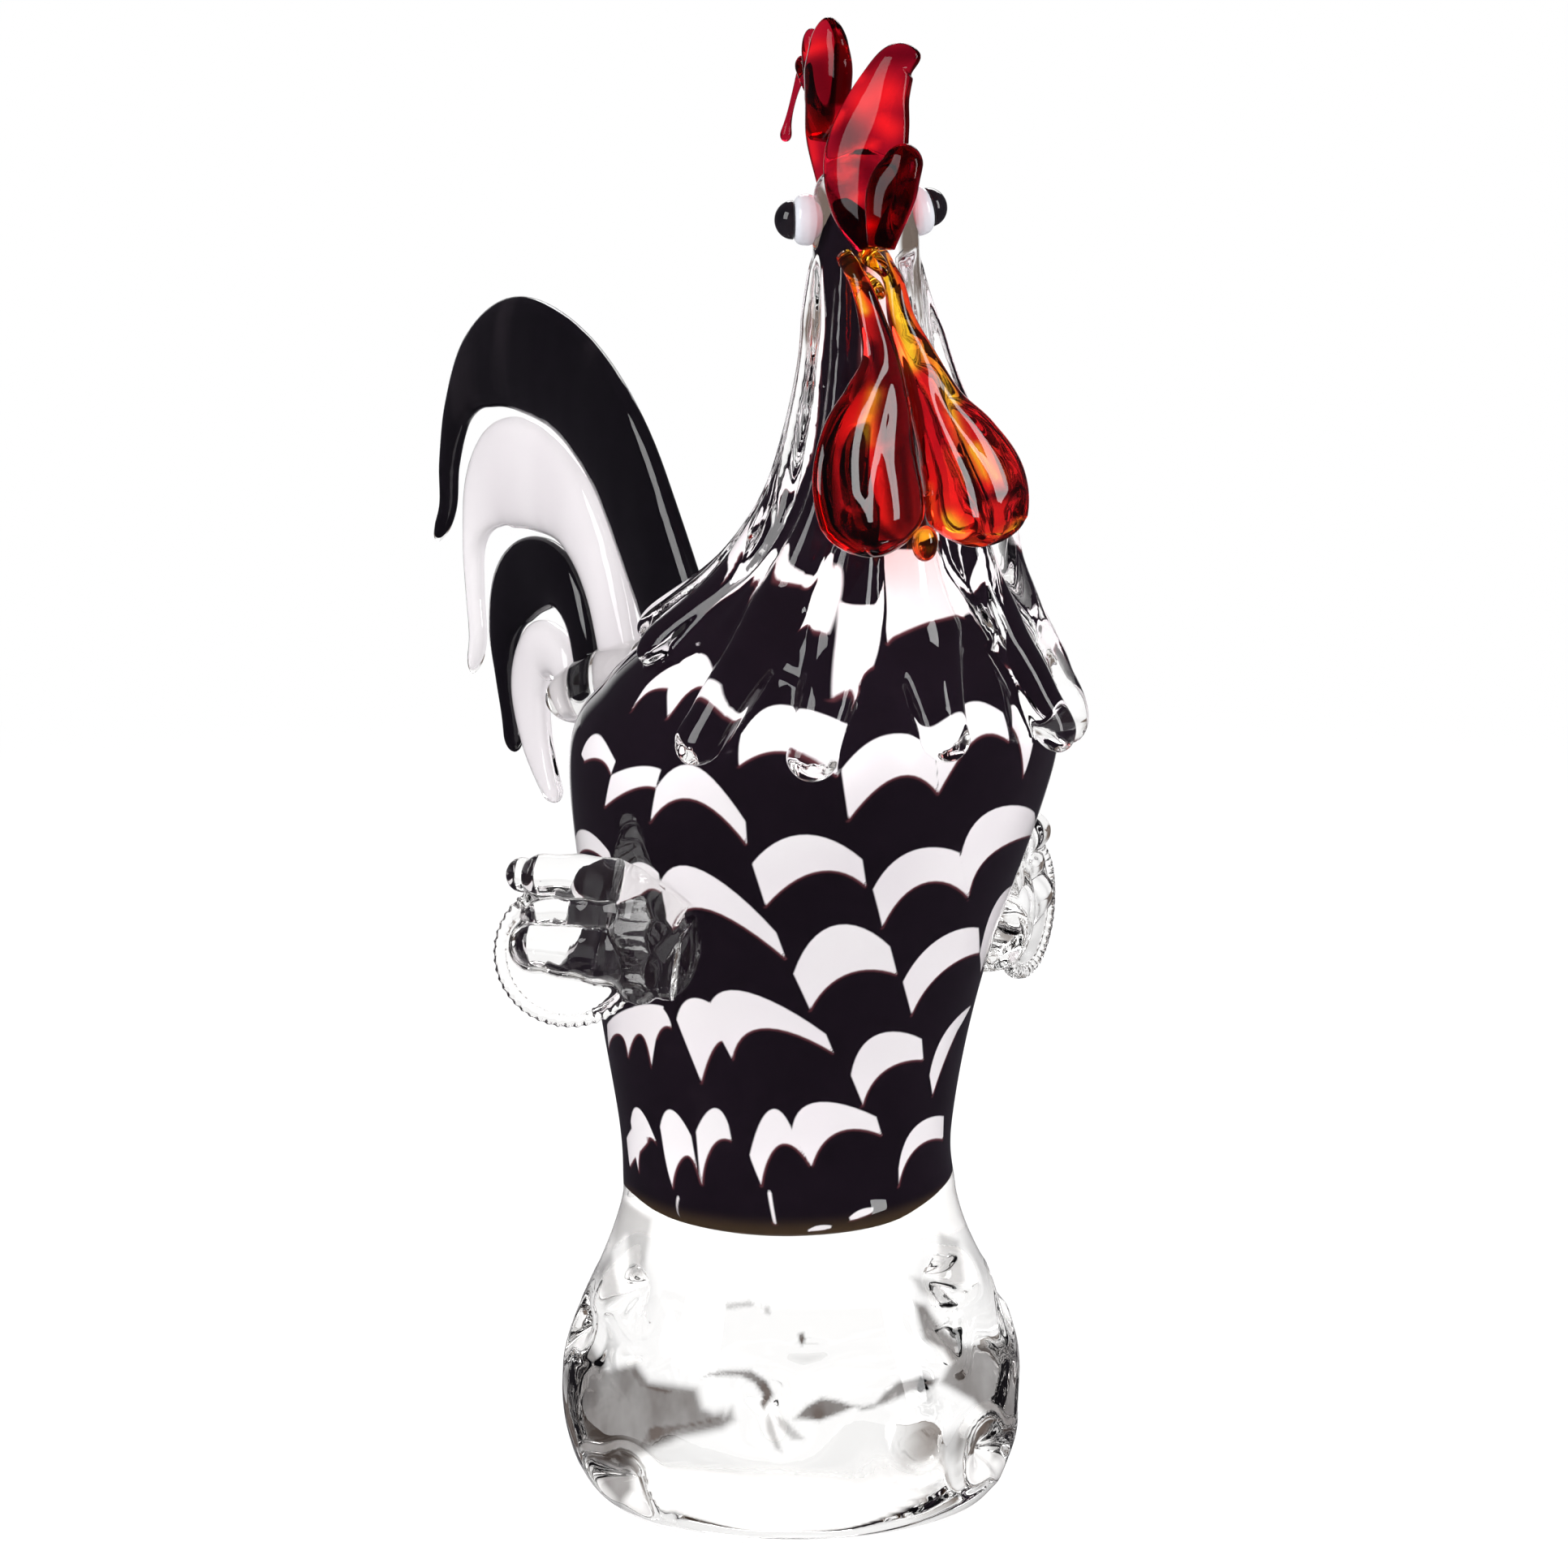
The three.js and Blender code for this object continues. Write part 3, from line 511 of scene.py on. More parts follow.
def core_radius(z):
    z = np.asarray(z, float)
    to_top = np.clip((CORE_TOP - z) / CORE_TAPER + 0.01, 0, 1)
    down_bowl = np.clip((CORE_BOWL_TOP - z) / (CORE_BOWL_TOP - CORE_BOTTOM), 0, 1)
    bowl = (1 - down_bowl**CORE_BOWL_POWER) ** (1 / CORE_BOWL_POWER)
    return (body_radius(z) - wall_at(z)) * np.sqrt(to_top) * bowl


def core_centre(z):
    """Where the core's middle lies in X and Y."""
    share = float(smoothstep(z, *CORE_DRIFT_HEIGHTS))
    return CORE_DRIFT[0] * share, float(body_centre(z)) + CORE_DRIFT[1] * share


def turn_apart(turn, other):
    """The difference of two turns, from -180 to 180 degrees."""
    return (turn - other + 180) % 360 - 180


def level_ring(angles, radius, x, y, z):
    """A level ring of points round an upright axis."""
    return np.stack([x + radius * np.sin(angles), y - radius * np.cos(angles), np.full(len(angles), z)], 1)


def bezier(points, t):
    a, b, c, d = np.array(points, float)
    s = 1 - t
    return a * s**3 + 3 * b * s * s * t + 3 * c * s * t * t + d * t**3


def on_body(turn, z, outwards=0.0):
    """A point at a turn and a height, so far out of the body's skin."""
    reach = body_radius(z) + outwards
    angle = math.radians(turn)
    return np.array([reach * math.sin(angle), body_centre(z) - reach * math.cos(angle), z])


# Clear glass: foot, casing and hackle in one fused body

# Dents of the pointed tool in the foot: turn, height, width, depth, slant
DENTS = [
    (-89, 47, 5.8, 4.4, 20), (-112, 36, 5.0, 3.8, -10), (-83, 10, 5.6, 4.4, 30),
    (-79, 36, 2.0, 1.2, 10), (-39, 31, 3.2, 2.6, -35), (-43, 48, 3.0, 0.7, 80), (-28, 43, 1.4, 0.6, 0),
    (20, 48.5, 5.8, 4.6, -15), (13, 40, 4.0, 3.2, -66), (28, 14, 6.0, 4.8, -25), (60, 40, 5.0, 4.0, 15),
    (57, 21, 5.0, 3.6, -20), (84, 12, 5.0, 4.2, 20), (90, 44, 4.6, 4.0, 10), (106, 30, 4.4, 3.6, -20),
    (112, 10, 4.6, 3.6, -30), (132, 7.5, 5.5, 1.5, 8), (147, 6.5, 3.4, 2.2, -12),
    (163, 8, 6.5, 0.6, -6), (124, 51, 4.4, 3.6, 25), (178, 51, 4.4, 3.6, 15), (-158, 50, 4.4, 3.4, -20),
    (-170, 32, 4.4, 2.0, 30), (-134, 11, 4.6, 3.6, -15), (-138, 40, 4.4, 3.4, 20),
]


def dent_depth(turn, z, radius):
    """How far the foot's skin is pushed in at a turn and a height: uneven ovals with a raised lip."""
    depth = np.zeros_like(turn)
    for at_turn, at_z, width, deep, slant in DENTS:
        side = np.radians(turn_apart(turn, at_turn)) * radius
        rise = z - at_z
        lean = math.radians(slant)
        along = side * math.cos(lean) + rise * math.sin(lean)
        across = -side * math.sin(lean) + rise * math.cos(lean)
        # an oval that is longer along its slant, with an uneven outline
        apart = np.sqrt((along / 1.5) ** 2 + (across / 0.85) ** 2) / width
        angle = np.arctan2(across, along)
        apart *= 1 + 0.24 * np.cos(2 * angle + at_turn) + 0.2 * np.cos(3 * angle + 2 * at_z)
        pinch = 0.75 * np.exp(-((apart / 0.42) ** 2))
        dimple = 0.45 * np.exp(-(apart**2))
        lip = 0.15 * np.exp(-(((apart - 1.25) / 0.35) ** 2))
        depth += deep * (pinch + dimple - lip)
    return depth


# Painted shade: the dark of the room as the foot shows it, painted on its skin by pixels of the picture:
# strength, soft edge, corners
PAINTED_FOOT_SHADES = [
    # the left side, with a tongue toward the middle
    (0.93, 7, [
        (690, 1690), (729, 1655), (749, 1687), (784, 1679), (800, 1702), (859, 1710), (866, 1734),
        (890, 1745), (902, 1734), (906, 1750), (890, 1761), (835, 1773), (780, 1797), (780, 1836),
        (764, 1856), (741, 1828), (709, 1781),
    ]),
    (0.99, 9, [
        (778, 1786), (796, 1752), (846, 1748), (892, 1738), (898, 1752), (840, 1768), (790, 1790),
    ]),
    (0.97, 6, [(772, 1690), (782, 1678), (800, 1702), (850, 1712), (820, 1722), (785, 1712)]),
    # the arch and the two leaves in the middle
    (0.97, 3, [
        (863, 1698), (874, 1691), (898, 1688), (925, 1688), (945, 1701), (954, 1718), (941, 1738),
        (936, 1730), (939, 1718), (929, 1704), (912, 1696), (890, 1695),
    ]),
    (0.97, 3, [
        (978, 1748), (994, 1732), (1012, 1722), (1032, 1725), (1054, 1733), (1034, 1742), (1010, 1751),
    ]),
    (0.9, 3, [(1050, 1731), (1064, 1733), (1078, 1729), (1078, 1735), (1062, 1738)]),
    (0.97, 4, [
        (1075, 1734), (1090, 1715), (1106, 1702), (1130, 1697), (1156, 1699), (1150, 1708),
        (1122, 1715), (1096, 1728),
    ]),
    (0.7, 3, [(944, 1738), (952, 1752), (964, 1790), (956, 1786), (944, 1762)]),
    (0.7, 3, [(950, 1738), (970, 1752), (992, 1774), (976, 1774), (958, 1756)]),
    # the right side
    (0.97, 5, [
        (1126, 1604), (1141, 1608), (1161, 1636), (1190, 1659), (1190, 1676), (1172, 1680),
        (1161, 1663), (1138, 1651),
    ]),
    (0.93, 6, [
        (1180, 1658), (1220, 1655), (1248, 1647), (1260, 1679), (1256, 1757), (1248, 1790),
        (1228, 1757), (1197, 1726), (1158, 1704), (1169, 1682),
    ]),
    (0.6, 9, [(1150, 1772), (1190, 1758), (1205, 1780), (1170, 1800)]),
    (0.75, 6, [(1212, 1742), (1232, 1752), (1240, 1796), (1222, 1800)]),
    # painted shade at the tool marks high at both sides, and at two small flaws
    (0.7, 5, [(762, 1474), (804, 1502), (792, 1573), (776, 1573), (772, 1522), (753, 1541)]),
    (0.65, 5, [(735, 1561), (753, 1541), (764, 1596), (745, 1612)]),
    (0.65, 5, [(1157, 1518), (1181, 1529), (1189, 1577), (1177, 1592), (1157, 1581)]),
    (0.6, 5, [(1122, 1573), (1153, 1577), (1177, 1616), (1134, 1592)]),
    (1.0, 2, [(984, 1644), (989, 1641), (993, 1650), (989, 1658), (984, 1654)]),
    (0.6, 2, [(892, 1607), (925, 1603), (930, 1609), (896, 1613)]),
    (0.6, 2, [(938, 1608), (948, 1610), (950, 1621), (942, 1618)]),
]


def inside_depth(spots, corners):
    """Signed distance of points to a closed outline, positive inside, and the nearest side's number."""
    corners = np.array(corners, float)
    nearest = np.full(len(spots), np.inf)
    nearest_side = np.zeros(len(spots), int)
    within = np.zeros(len(spots), bool)
    for number, start in enumerate(corners):
        way = corners[(number + 1) % len(corners)] - start
        apart = spots - start
        share = np.clip(apart @ way / max(way @ way, 1e-9), 0, 1)
        gap = np.hypot(*(apart - share[:, None] * way).T)
        nearest_side[gap < nearest] = number
        nearest = np.minimum(nearest, gap)
        if way[1]:
            spans = (apart[:, 1] >= 0) != (apart[:, 1] >= way[1])
            within ^= spans & (apart[:, 0] < apart[:, 1] * way[0] / way[1])
    return np.where(within, nearest, -nearest), nearest_side


def paint_foot_shade(piece):
    """Sets the painted shade of the foot: how dark it looks at each point of its skin that faces the
    camera.
    """
    points = point_rows(piece.data, "co") / MM
    to_eye = eye - points
    to_eye /= np.linalg.norm(to_eye, axis=1)[:, None]
    facing = (point_rows(piece.data, "normal") * to_eye).sum(1)
    near = np.nonzero((facing > 0) & (points[:, 2] < FOOT_HEIGHT))[0]
    spots = to_pixels(points[near])
    share = np.zeros(len(near))
    for strength, soft, corners in PAINTED_FOOT_SHADES:
        depth, _ = inside_depth(spots, corners)
        share = np.maximum(share, strength * smoothstep(depth, -soft, soft))
    whole = np.zeros(len(points))
    whole[near] = share * smoothstep(facing[near], 0.0, 0.2)
    add_values(piece, "shade", whole)


# Neck feathers: turn, height of the tip, thickness at the top, halfway and below, half width,
# and how far the tip stands off
HACKLE_FEATHERS = [
    (-6, 157.5, 1.6, 3.4, 3.4, 8.6, 3.2), (29, 155.5, 1.6, 7, 5, 6.6, 3.2),
    (67, 151, 1.6, 12, 6, 7.4, 2), (105, 161, 1.6, 6, 5, 7.4, 2.5), (142, 169, 1.6, 4.4, 4.4, 7.4, 2),
    (179, 174, 2, 3.8, 3.8, 7.4, 2), (-142, 173, 2.8, 4.2, 3.2, 7.4, 1.2),
    (-101, 172.5, 2.8, 4.2, 3.2, 7.2, 1), (-61, 157, 1.6, 4.6, 4.6, 7.0, 3.2),
    (-35, 155, 1.6, 3.4, 3.4, 6.2, 3.2),
]
HACKLE_TOP = 249
HACKLE_FRONT_TOP = 235
WEB_BOTTOM = 174
WEB_THICKNESS = 1.6
HACKLE_TIP_HALF_WIDTH = 4.6
HACKLE_TIP_THICKNESS = 3.4
# Radii of the rings on the foot's underside, and how many points and rows the trunk has
UNDERSIDE_RINGS = (12, 24, 33)
TRUNK_COLUMNS = 420
FOOT_ROWS = 150
# The casing's rings, closer together where the web has its flutes
CASING_HEIGHTS = np.concatenate([np.linspace(FOOT_HEIGHT, 170, 170), np.linspace(170.4, 268.4, 260)])


def foot_profile(count):
    """Radius and height up the side of the foot."""
    half = count // 2
    low = [bezier(FOOT_SIDE[0], t) for t in np.linspace(0, 1, half, endpoint=False)]
    high = [bezier(FOOT_SIDE[1], t) for t in np.linspace(0, 1, count - half, endpoint=False)]
    return np.array(low + high)


def web_step(turn, z):
    """Thickness of the web that joins the neck feathers above their free ends."""
    # its lower edge is wavy, fine flutes run up it, and it thins out toward the head
    angle = np.radians(turn)
    edge = WEB_BOTTOM + 2.0 * np.sin(angle * 5 + 1.0) + 1.5 * np.sin(angle * 3)
    flutes = 0.35 * np.sin(angle * 31) * smoothstep(z, 176, 186)
    top = 1 - smoothstep(z, 225, 250)
    return (WEB_THICKNESS + flutes) * smoothstep(z, edge - 1.2, edge + 1.2) * top


def trunk_shape():
    """The foot and the casing up to the top of the head, as one body."""
    turns = np.arange(TRUNK_COLUMNS) * 360 / TRUNK_COLUMNS
    angles = np.radians(turns)
    rings = [level_ring(angles, radius, 0, 0, 0.0) for radius in UNDERSIDE_RINGS]
    for radius, z in foot_profile(FOOT_ROWS):
        # dents and waves fade out toward the ground and the waist
        free = min(1, z / 3, (FOOT_HEIGHT - z) / 5)
        push = dent_depth(turns, z, max(radius, 30)) * free
        wave = 0.5 * free * np.sin(angles * 3 + z * 0.06) * np.sin(z * 0.11)
        rings.append(level_ring(angles, radius - push + wave, 0, WAIST_BACK * z / FOOT_HEIGHT, z))
    for z in CASING_HEIGHTS:
        swell = web_step(turns, z) if z > 168 else 0
        rings.append(level_ring(angles, body_radius(z) + swell, 0, body_centre(z), z))
    return closed_tube(rings)


def hackle_shape(turn, tip, upper, middle, low, wide, off):
    """A neck feather, drawn down the neck to a free tip like a drip."""
    top = HACKLE_FRONT_TOP if abs(turn) < 45 else HACKLE_TOP
    thickness = through([upper, (upper + middle) / 2, middle, low, HACKLE_TIP_THICKNESS])
    nearest = min(abs(turn_apart(turn, other[0])) for other in HACKLE_FEATHERS if other[0] != turn)

    def height(t):
        return top + (tip - top) * t

    def path(t):
        # the tip stands off the body, most at its very end
        stand = off * float(smoothstep(t, 0.72, 1)) + 1.6 * float(smoothstep(t, 0.84, 1))
        return on_body(turn, height(t), stand)

    def size(t):
        # a round start, no wider than the room up to the next feather, and a narrower tip with a drop
        start = math.sqrt(min(1, t / 0.16 + 0.004))
        room = math.radians(nearest / 2) * float(body_radius(height(t))) * 1.02
        narrow = float(smoothstep(t, 0.6, 0.98))
        drop = 0.5 * math.exp(-(((t - 0.96) / 0.03) ** 2))
        half_width = min(room, wide + (HACKLE_TIP_HALF_WIDTH - wide) * narrow) + drop
        return [half_width * start, float(thickness(t)[0]) * start]

    angle = math.radians(turn)
    return sweep(path, (math.cos(angle), math.sin(angle), 0), size, steps=70, sides=32, round_from=0.94)


# Core: black glass with combed white feathering

# Where along a ray from the eye the body is looked for: from, how far, and how far inside for the core
BODY_FROM = 850
BODY_REACH = 300
CORE_REACH = 60


def cast(pixel_x, pixel_y):
    """Turn and height of the core's skin that is seen through the casing at a pixel of the picture."""
    ray = pixel_ray(pixel_x, pixel_y)

    def outside(point, in_core):
        x, y = core_centre(point[2]) if in_core else (0.0, body_centre(point[2]))
        radius = core_radius(point[2]) if in_core else body_radius(point[2])
        return math.hypot(point[0] - x, point[1] - y) - radius

    def place(point):
        x, y = core_centre(point[2])
        return math.degrees(math.atan2(point[0] - x, y - point[1])), point[2]

    def first_inside(start, way, in_core, reach):
        """The first point along a way that lies in the body or the core."""
        steps = np.linspace(0, reach, 400)
        for low, high in zip(steps, steps[1:]):
            if outside(start + way * high, in_core) < 0:
                for _ in range(30):
                    middle = (low + high) / 2
                    if outside(start + way * middle, in_core) < 0:
                        high = middle
                    else:
                        low = middle
                return start + way * high
        return None

    skin = first_inside(eye + ray * BODY_FROM, ray, False, BODY_REACH)
    if skin is None:
        return place(eye + ray * np.dot(CAMERA_TARGET - eye, look))
    normal = unit(np.array([
        outside(skin + step, False) - outside(skin - step, False) for step in np.eye(3) * 0.01
    ]))
    cosine = -np.dot(ray, normal)
    under = max(0.0, 1 - (1 - cosine**2) / GLASS_IOR**2)
    bent = ray / GLASS_IOR + normal * (cosine / GLASS_IOR - math.sqrt(under))
    core = first_inside(skin, bent, True, CORE_REACH)
    return place(skin if core is None else core)


# Each white patch, by pixels of the picture: upper edge (left, crown, right), then the lower edge back
SEEN_PATCHES = [
    [(779, 872), (803, 838), (840, 815), (832, 850), (800, 852), (778, 876)],
    [(838, 815), (868, 795), (893, 850), (891, 905), (866, 846), (822, 885)],
    [(912, 904), (958, 868), (1031, 894), (1033, 957), (968, 926), (910, 944)],
    [(1036, 948), (1088, 906), (1150, 914), (1156, 978), (1106, 957), (1045, 1011)],
    [(1150, 914), (1190, 866), (1236, 878), (1244, 914), (1200, 912), (1156, 978)],
    [(1246, 869), (1260, 868), (1274, 892), (1261, 958), (1256, 915), (1247, 896)],
    [(716, 930), (736, 904), (759, 938), (753, 955), (740, 936), (720, 938)],
    [(753, 955), (786, 944), (815, 948), (808, 971), (780, 972), (745, 994)],
    [(808, 971), (858, 944), (919, 1012), (921, 1042), (854, 985), (801, 1013)],
    [(706, 1037), (720, 1022), (751, 1050), (757, 1073), (726, 1047), (706, 1058)],
    [(768, 1074), (788, 1062), (812, 1076), (815, 1104), (795, 1100), (776, 1120)],
    [(812, 1090), (862, 1071), (957, 1149), (969, 1182), (870, 1120), (827, 1150)],
    [(926, 1064), (990, 1028), (1063, 1059), (1068, 1093), (1008, 1074), (943, 1117)],
    [(1075, 1096), (1122, 1049), (1182, 1050), (1194, 1107), (1139, 1088), (1087, 1143)],
    [(1183, 1058), (1222, 998), (1275, 1001), (1275, 1022), (1230, 1046), (1193, 1108)],
    [(977, 1200), (1028, 1140), (1097, 1166), (1106, 1201), (1045, 1200), (998, 1245)],
    [(1112, 1210), (1158, 1156), (1206, 1143), (1207, 1174), (1164, 1195), (1123, 1251)],
    [(1207, 1176), (1228, 1111), (1256, 1085), (1256, 1102), (1232, 1146), (1208, 1199)],
    [(748, 1262), (766, 1246), (788, 1239), (774, 1303), (763, 1274), (750, 1292)],
    [(780, 1240), (800, 1237), (818, 1240), (803, 1315), (789, 1274), (774, 1303)],
    [(812, 1238), (821, 1248), (827, 1262), (828, 1267), (812, 1272), (803, 1315)],
    [(833, 1256), (850, 1230), (882, 1240), (902, 1306), (886, 1284), (864, 1334)],
    [(871, 1247), (916, 1221), (1018, 1274), (1028, 1298), (942, 1267), (902, 1306)],
    [(1048, 1325), (1080, 1275), (1136, 1280), (1138, 1306), (1092, 1318), (1063, 1362)],
    [(1145, 1325), (1168, 1267), (1197, 1238), (1194, 1268), (1165, 1304), (1149, 1350)],
    [(756, 1390), (762, 1380), (772, 1402), (776, 1438), (766, 1412), (758, 1404)],
    [(777, 1382), (784, 1364), (799, 1383), (811, 1411), (794, 1404), (787, 1444)],
    [(813, 1388), (827, 1367), (852, 1400), (865, 1461), (846, 1424), (829, 1463)],
    [(857, 1394), (879, 1365), (898, 1386), (902, 1406), (878, 1412), (865, 1461)],
    [(923, 1424), (949, 1367), (978, 1396), (1000, 1438), (962, 1410), (938, 1461)],
    [(975, 1396), (1006, 1358), (1080, 1376), (1087, 1399), (1033, 1395), (1000, 1438)],
    [(1107, 1440), (1128, 1388), (1163, 1375), (1162, 1404), (1130, 1414), (1107, 1462)],
    [(1046, 1500), (1060, 1490), (1077, 1487), (1075, 1494), (1061, 1500), (1047, 1504)],
    [(994, 1517), (1008, 1510), (1026, 1510), (1024, 1515), (1010, 1518), (995, 1520)],
    [(945, 1468), (948, 1466), (951, 1470), (957, 1508), (955, 1509), (952, 1506)],
    [(834, 1474), (836, 1473), (838, 1476), (848, 1510), (846, 1510), (844, 1507)],
    [(996, 690), (1022, 684), (1046, 690), (1026, 786), (1004, 772), (974, 770)],
    [(1036, 742), (1062, 744), (1092, 715), (1076, 822), (1050, 838), (1021, 866)],
    [(1092, 686), (1145, 678), (1198, 684), (1190, 760), (1145, 768), (1096, 792)],
]

# Rows of patches that go on round the back: their turns, mean width in degrees, then height, rise, depth
HIDDEN_TURNS = (62, 226)
HIDDEN_WIDTH = 27
HIDDEN_ROWS = [
    (168, 13, 7.5), (152, 12, 8), (133, 13, 8.5), (117, 13, 8.5), (100, 13, 8), (80, 11, 7.5),
]
# Patches round the neck: turn from, turn to, height, rise, depth
NECK_PATCHES = [
    (-118, -82, 186, 12, 6), (-82, -56, 188, 9, 5), (32, 70, 186, 12, 7), (76, 120, 187, 12, 7),
    (128, 170, 187, 12, 7), (-176, -130, 187, 12, 7),
]
# White streaks drawn up inside the neck: lean in degrees a millimetre, share of the brown-red fringe,
# then turn, half width in degrees and two heights
STREAK_LEAN = 0.12
STREAK_FRINGE = 0.7
NECK_STREAKS = [
    (-2, 30, 199, 250), (92, 26, 203, 244), (172, 30, 201, 248), (-118, 22, 203, 246),
]


def curve_of(start, crown, end, count=14):
    """Points along a curve that passes through three points."""
    start, crown, end = (np.array(p, float) for p in (start, crown, end))
    hold = 2 * crown - (start + end) / 2
    shares = np.linspace(0, 1, count)[:, None]
    return start * (1 - shares) ** 2 + 2 * hold * shares * (1 - shares) + end * shares**2


def patch_edges(points):
    """Outline of a patch in turn and height, and which of its sides are the lower edge."""
    left, crown, right, right_tip, arch, left_tip = points
    upper = curve_of(left, crown, right)
    lower = curve_of(right_tip, arch, left_tip)
    outline = np.vstack([upper, lower])
    is_lower = np.array([0.0] * len(upper) + [1.0] * (len(lower) - 1) + [0.0])
    return outline, is_lower


def all_patches():
    """The six points of every patch, as turns and heights."""
    patches = [[cast(*pixel) for pixel in patch] for patch in SEEN_PATCHES]
    for row, (height, rise, deep) in enumerate(HIDDEN_ROWS):
        turn = HIDDEN_TURNS[0] + 11.0 * (row % 2)
        count = 0
        while turn < HIDDEN_TURNS[1] - 4 * (row % 3):
            width = HIDDEN_WIDTH + 7 * noise.noise(Vector((row * 3.1, count * 1.7, 0.5)))
            shift = 3.0 * noise.noise(Vector((row * 1.3, count * 2.9, 7.5)))
            patches.append(scallop(turn, turn + width, height + shift, rise, deep))
            turn += width * (0.98 + 0.25 * (count % 2))
            count += 1
    for start, end, height, rise, deep in NECK_PATCHES:
        patches.append(scallop(start, end, height, rise, deep))
    return patches


def scallop(start, end, height, rise, deep):
    """A patch like those seen: a bowed crown over an arch that ends in points."""
    span = end - start
    return [
        (start, height - deep * 0.45), (start + span * 0.42, height + rise * 0.42),
        (end - span * 0.04, height - deep * 0.1), (end, height - deep * 0.75),
        (start + span * 0.5, height - deep * 0.12), (start + span * 0.08, height - deep * 1.35),
    ]


def patch_depths(turns, heights):
    """For points on the core, depth into the white in millimetres, and whether a lower edge is nearest."""
    far_outside = -8.0
    margin = 4
    depth = np.full(turns.shape, far_outside)
    fringe = np.zeros(turns.shape)
    for patch in all_patches():
        outline, is_lower = patch_edges(patch)
        middle = outline.mean(0)
        scale = math.radians(1) * float(core_radius(middle[1]))

        def flat(turn, height):
            return np.stack([turn_apart(turn, middle[0]) * scale, height - middle[1]], -1)

        edge = flat(outline[:, 0], outline[:, 1])
        spots = flat(turns, heights)
        near = ((spots > edge.min(0) - margin) & (spots < edge.max(0) + margin)).all(-1)
        signed, nearest_side = inside_depth(spots[near], edge)
        better = signed > depth[near]
        depth[near] = np.where(better, signed, depth[near])
        fringe[near] = np.where(better, is_lower[nearest_side], fringe[near])
    for turn, half, low, high in NECK_STREAKS:
        lean = (heights - low) * STREAK_LEAN
        radius = np.maximum(core_radius(heights), 2)
        away = np.radians(np.abs(turn_apart(turns, turn + lean)))
        drawn = 1 - 0.85 * np.abs(2 * np.clip((heights - low) / (high - low), 0, 1) - 1) ** 3
        across = (math.radians(half) * drawn - away) * radius
        signed = np.minimum(np.minimum(across, heights - low), high - heights)
        better = signed > depth
        depth = np.where(better, signed, depth)
        fringe = np.where(better, STREAK_FRINGE, fringe)
    return depth, fringe


def make_core(material):
    columns = 560
    turns = np.arange(columns) * 360 / columns - 180
    angles = np.radians(turns)
    down_bowl = np.cos(np.linspace(0.03, math.pi / 2, 48, endpoint=False)) ** (2 / CORE_BOWL_POWER)
    levels = np.concatenate([
        CORE_BOWL_TOP - (CORE_BOWL_TOP - CORE_BOTTOM) * down_bowl,
        np.linspace(CORE_BOWL_TOP, CORE_TOP - CORE_TAPER, 370, endpoint=False),
        CORE_TOP - CORE_TAPER * np.linspace(1, 0.02, 30) ** 2,
    ])
    rings = [level_ring(angles, float(core_radius(z)), *core_centre(z), z) for z in levels]
    piece = make_bit("feathered_core", closed_tube(rings), material)
    grid_turns = np.tile(turns, (len(levels), 1))
    grid_heights = np.repeat(levels[:, None], columns, 1)
    depth, fringe = patch_depths(grid_turns, grid_heights)
    # painted light: the underside, as seen from below through the foot, is painted as if lit from below:
    # dim, and pale toward the back
    under = 1 - smoothstep(grid_heights, CORE_BOTTOM + 1.5, CORE_BOTTOM + 3.5)
    away = np.sin(angles) * look_level[0] - np.cos(angles) * look_level[1]
    pale = under * smoothstep(core_radius(grid_heights), 8, 18) * smoothstep(away, -0.2, 0.3)
    # the black thins to brown round the bowl
    warm = (1 - smoothstep(grid_heights, CORE_BOTTOM + 4, CORE_BOTTOM + 9)) * (depth < 0)
    values_of = {"white_depth": depth, "fringe": fringe, "warm": warm, "under": under, "pale": pale}
    for name, values in values_of.items():
        add_values(piece, name, np.concatenate([values.ravel(), values[0, :1], values[-1, :1]]))


# Wings: a root on the body, three rolled folds, a knob at the end and a thin fin below

def ellipsoid(centre, axes, halves, rows=20, columns=28):
    a, b, c = (np.array(axis, float) * half for axis, half in zip(axes, halves))
    angles = np.arange(columns) * 2 * math.pi / columns
    return closed_tube([
        np.array(centre, float) - c * math.cos(polar)
        + np.outer(np.cos(angles) * math.sin(polar), a)
        + np.outer(np.sin(angles) * math.sin(polar), b)
        for polar in math.pi * np.arange(1, rows) / rows
    ])


# Each wing: side, height of its middle. Its turn and its sweep toward the back are in degrees
WINGS = {"wing_left": (1, 115.5), "wing_right": (-1, 119.5)}
WING_TURN = 70
WING_SWEEP = 33
# Root and knob: place by reach, lift and forward, half sizes along the wing, forward and up
WING_ROOT = ((4.6, 0.2, 0.0), (6.6, 7.2, 12.8))
WING_KNOB = ((26.9, 12.0, 3.4), (3.3, 3.6, 3.4))
# The fin's centre by reach and lift, its radius, and the notches of its rim
FIN_CENTRE = (18, -2.5)
FIN_RADIUS = 14
FIN_NOTCHES = 48
FIN_NOTCH_DEPTH = 0.32
# The fin's section: share of its radius, half thickness
FIN_STEPS = [
    (0.12, 1.7), (0.3, 1.6), (0.5, 1.4), (0.7, 1.1), (0.84, 0.8), (0.92, 1.5), (0.97, 1.6), (1.01, 1.1),
    (1.03, 0.4),
]
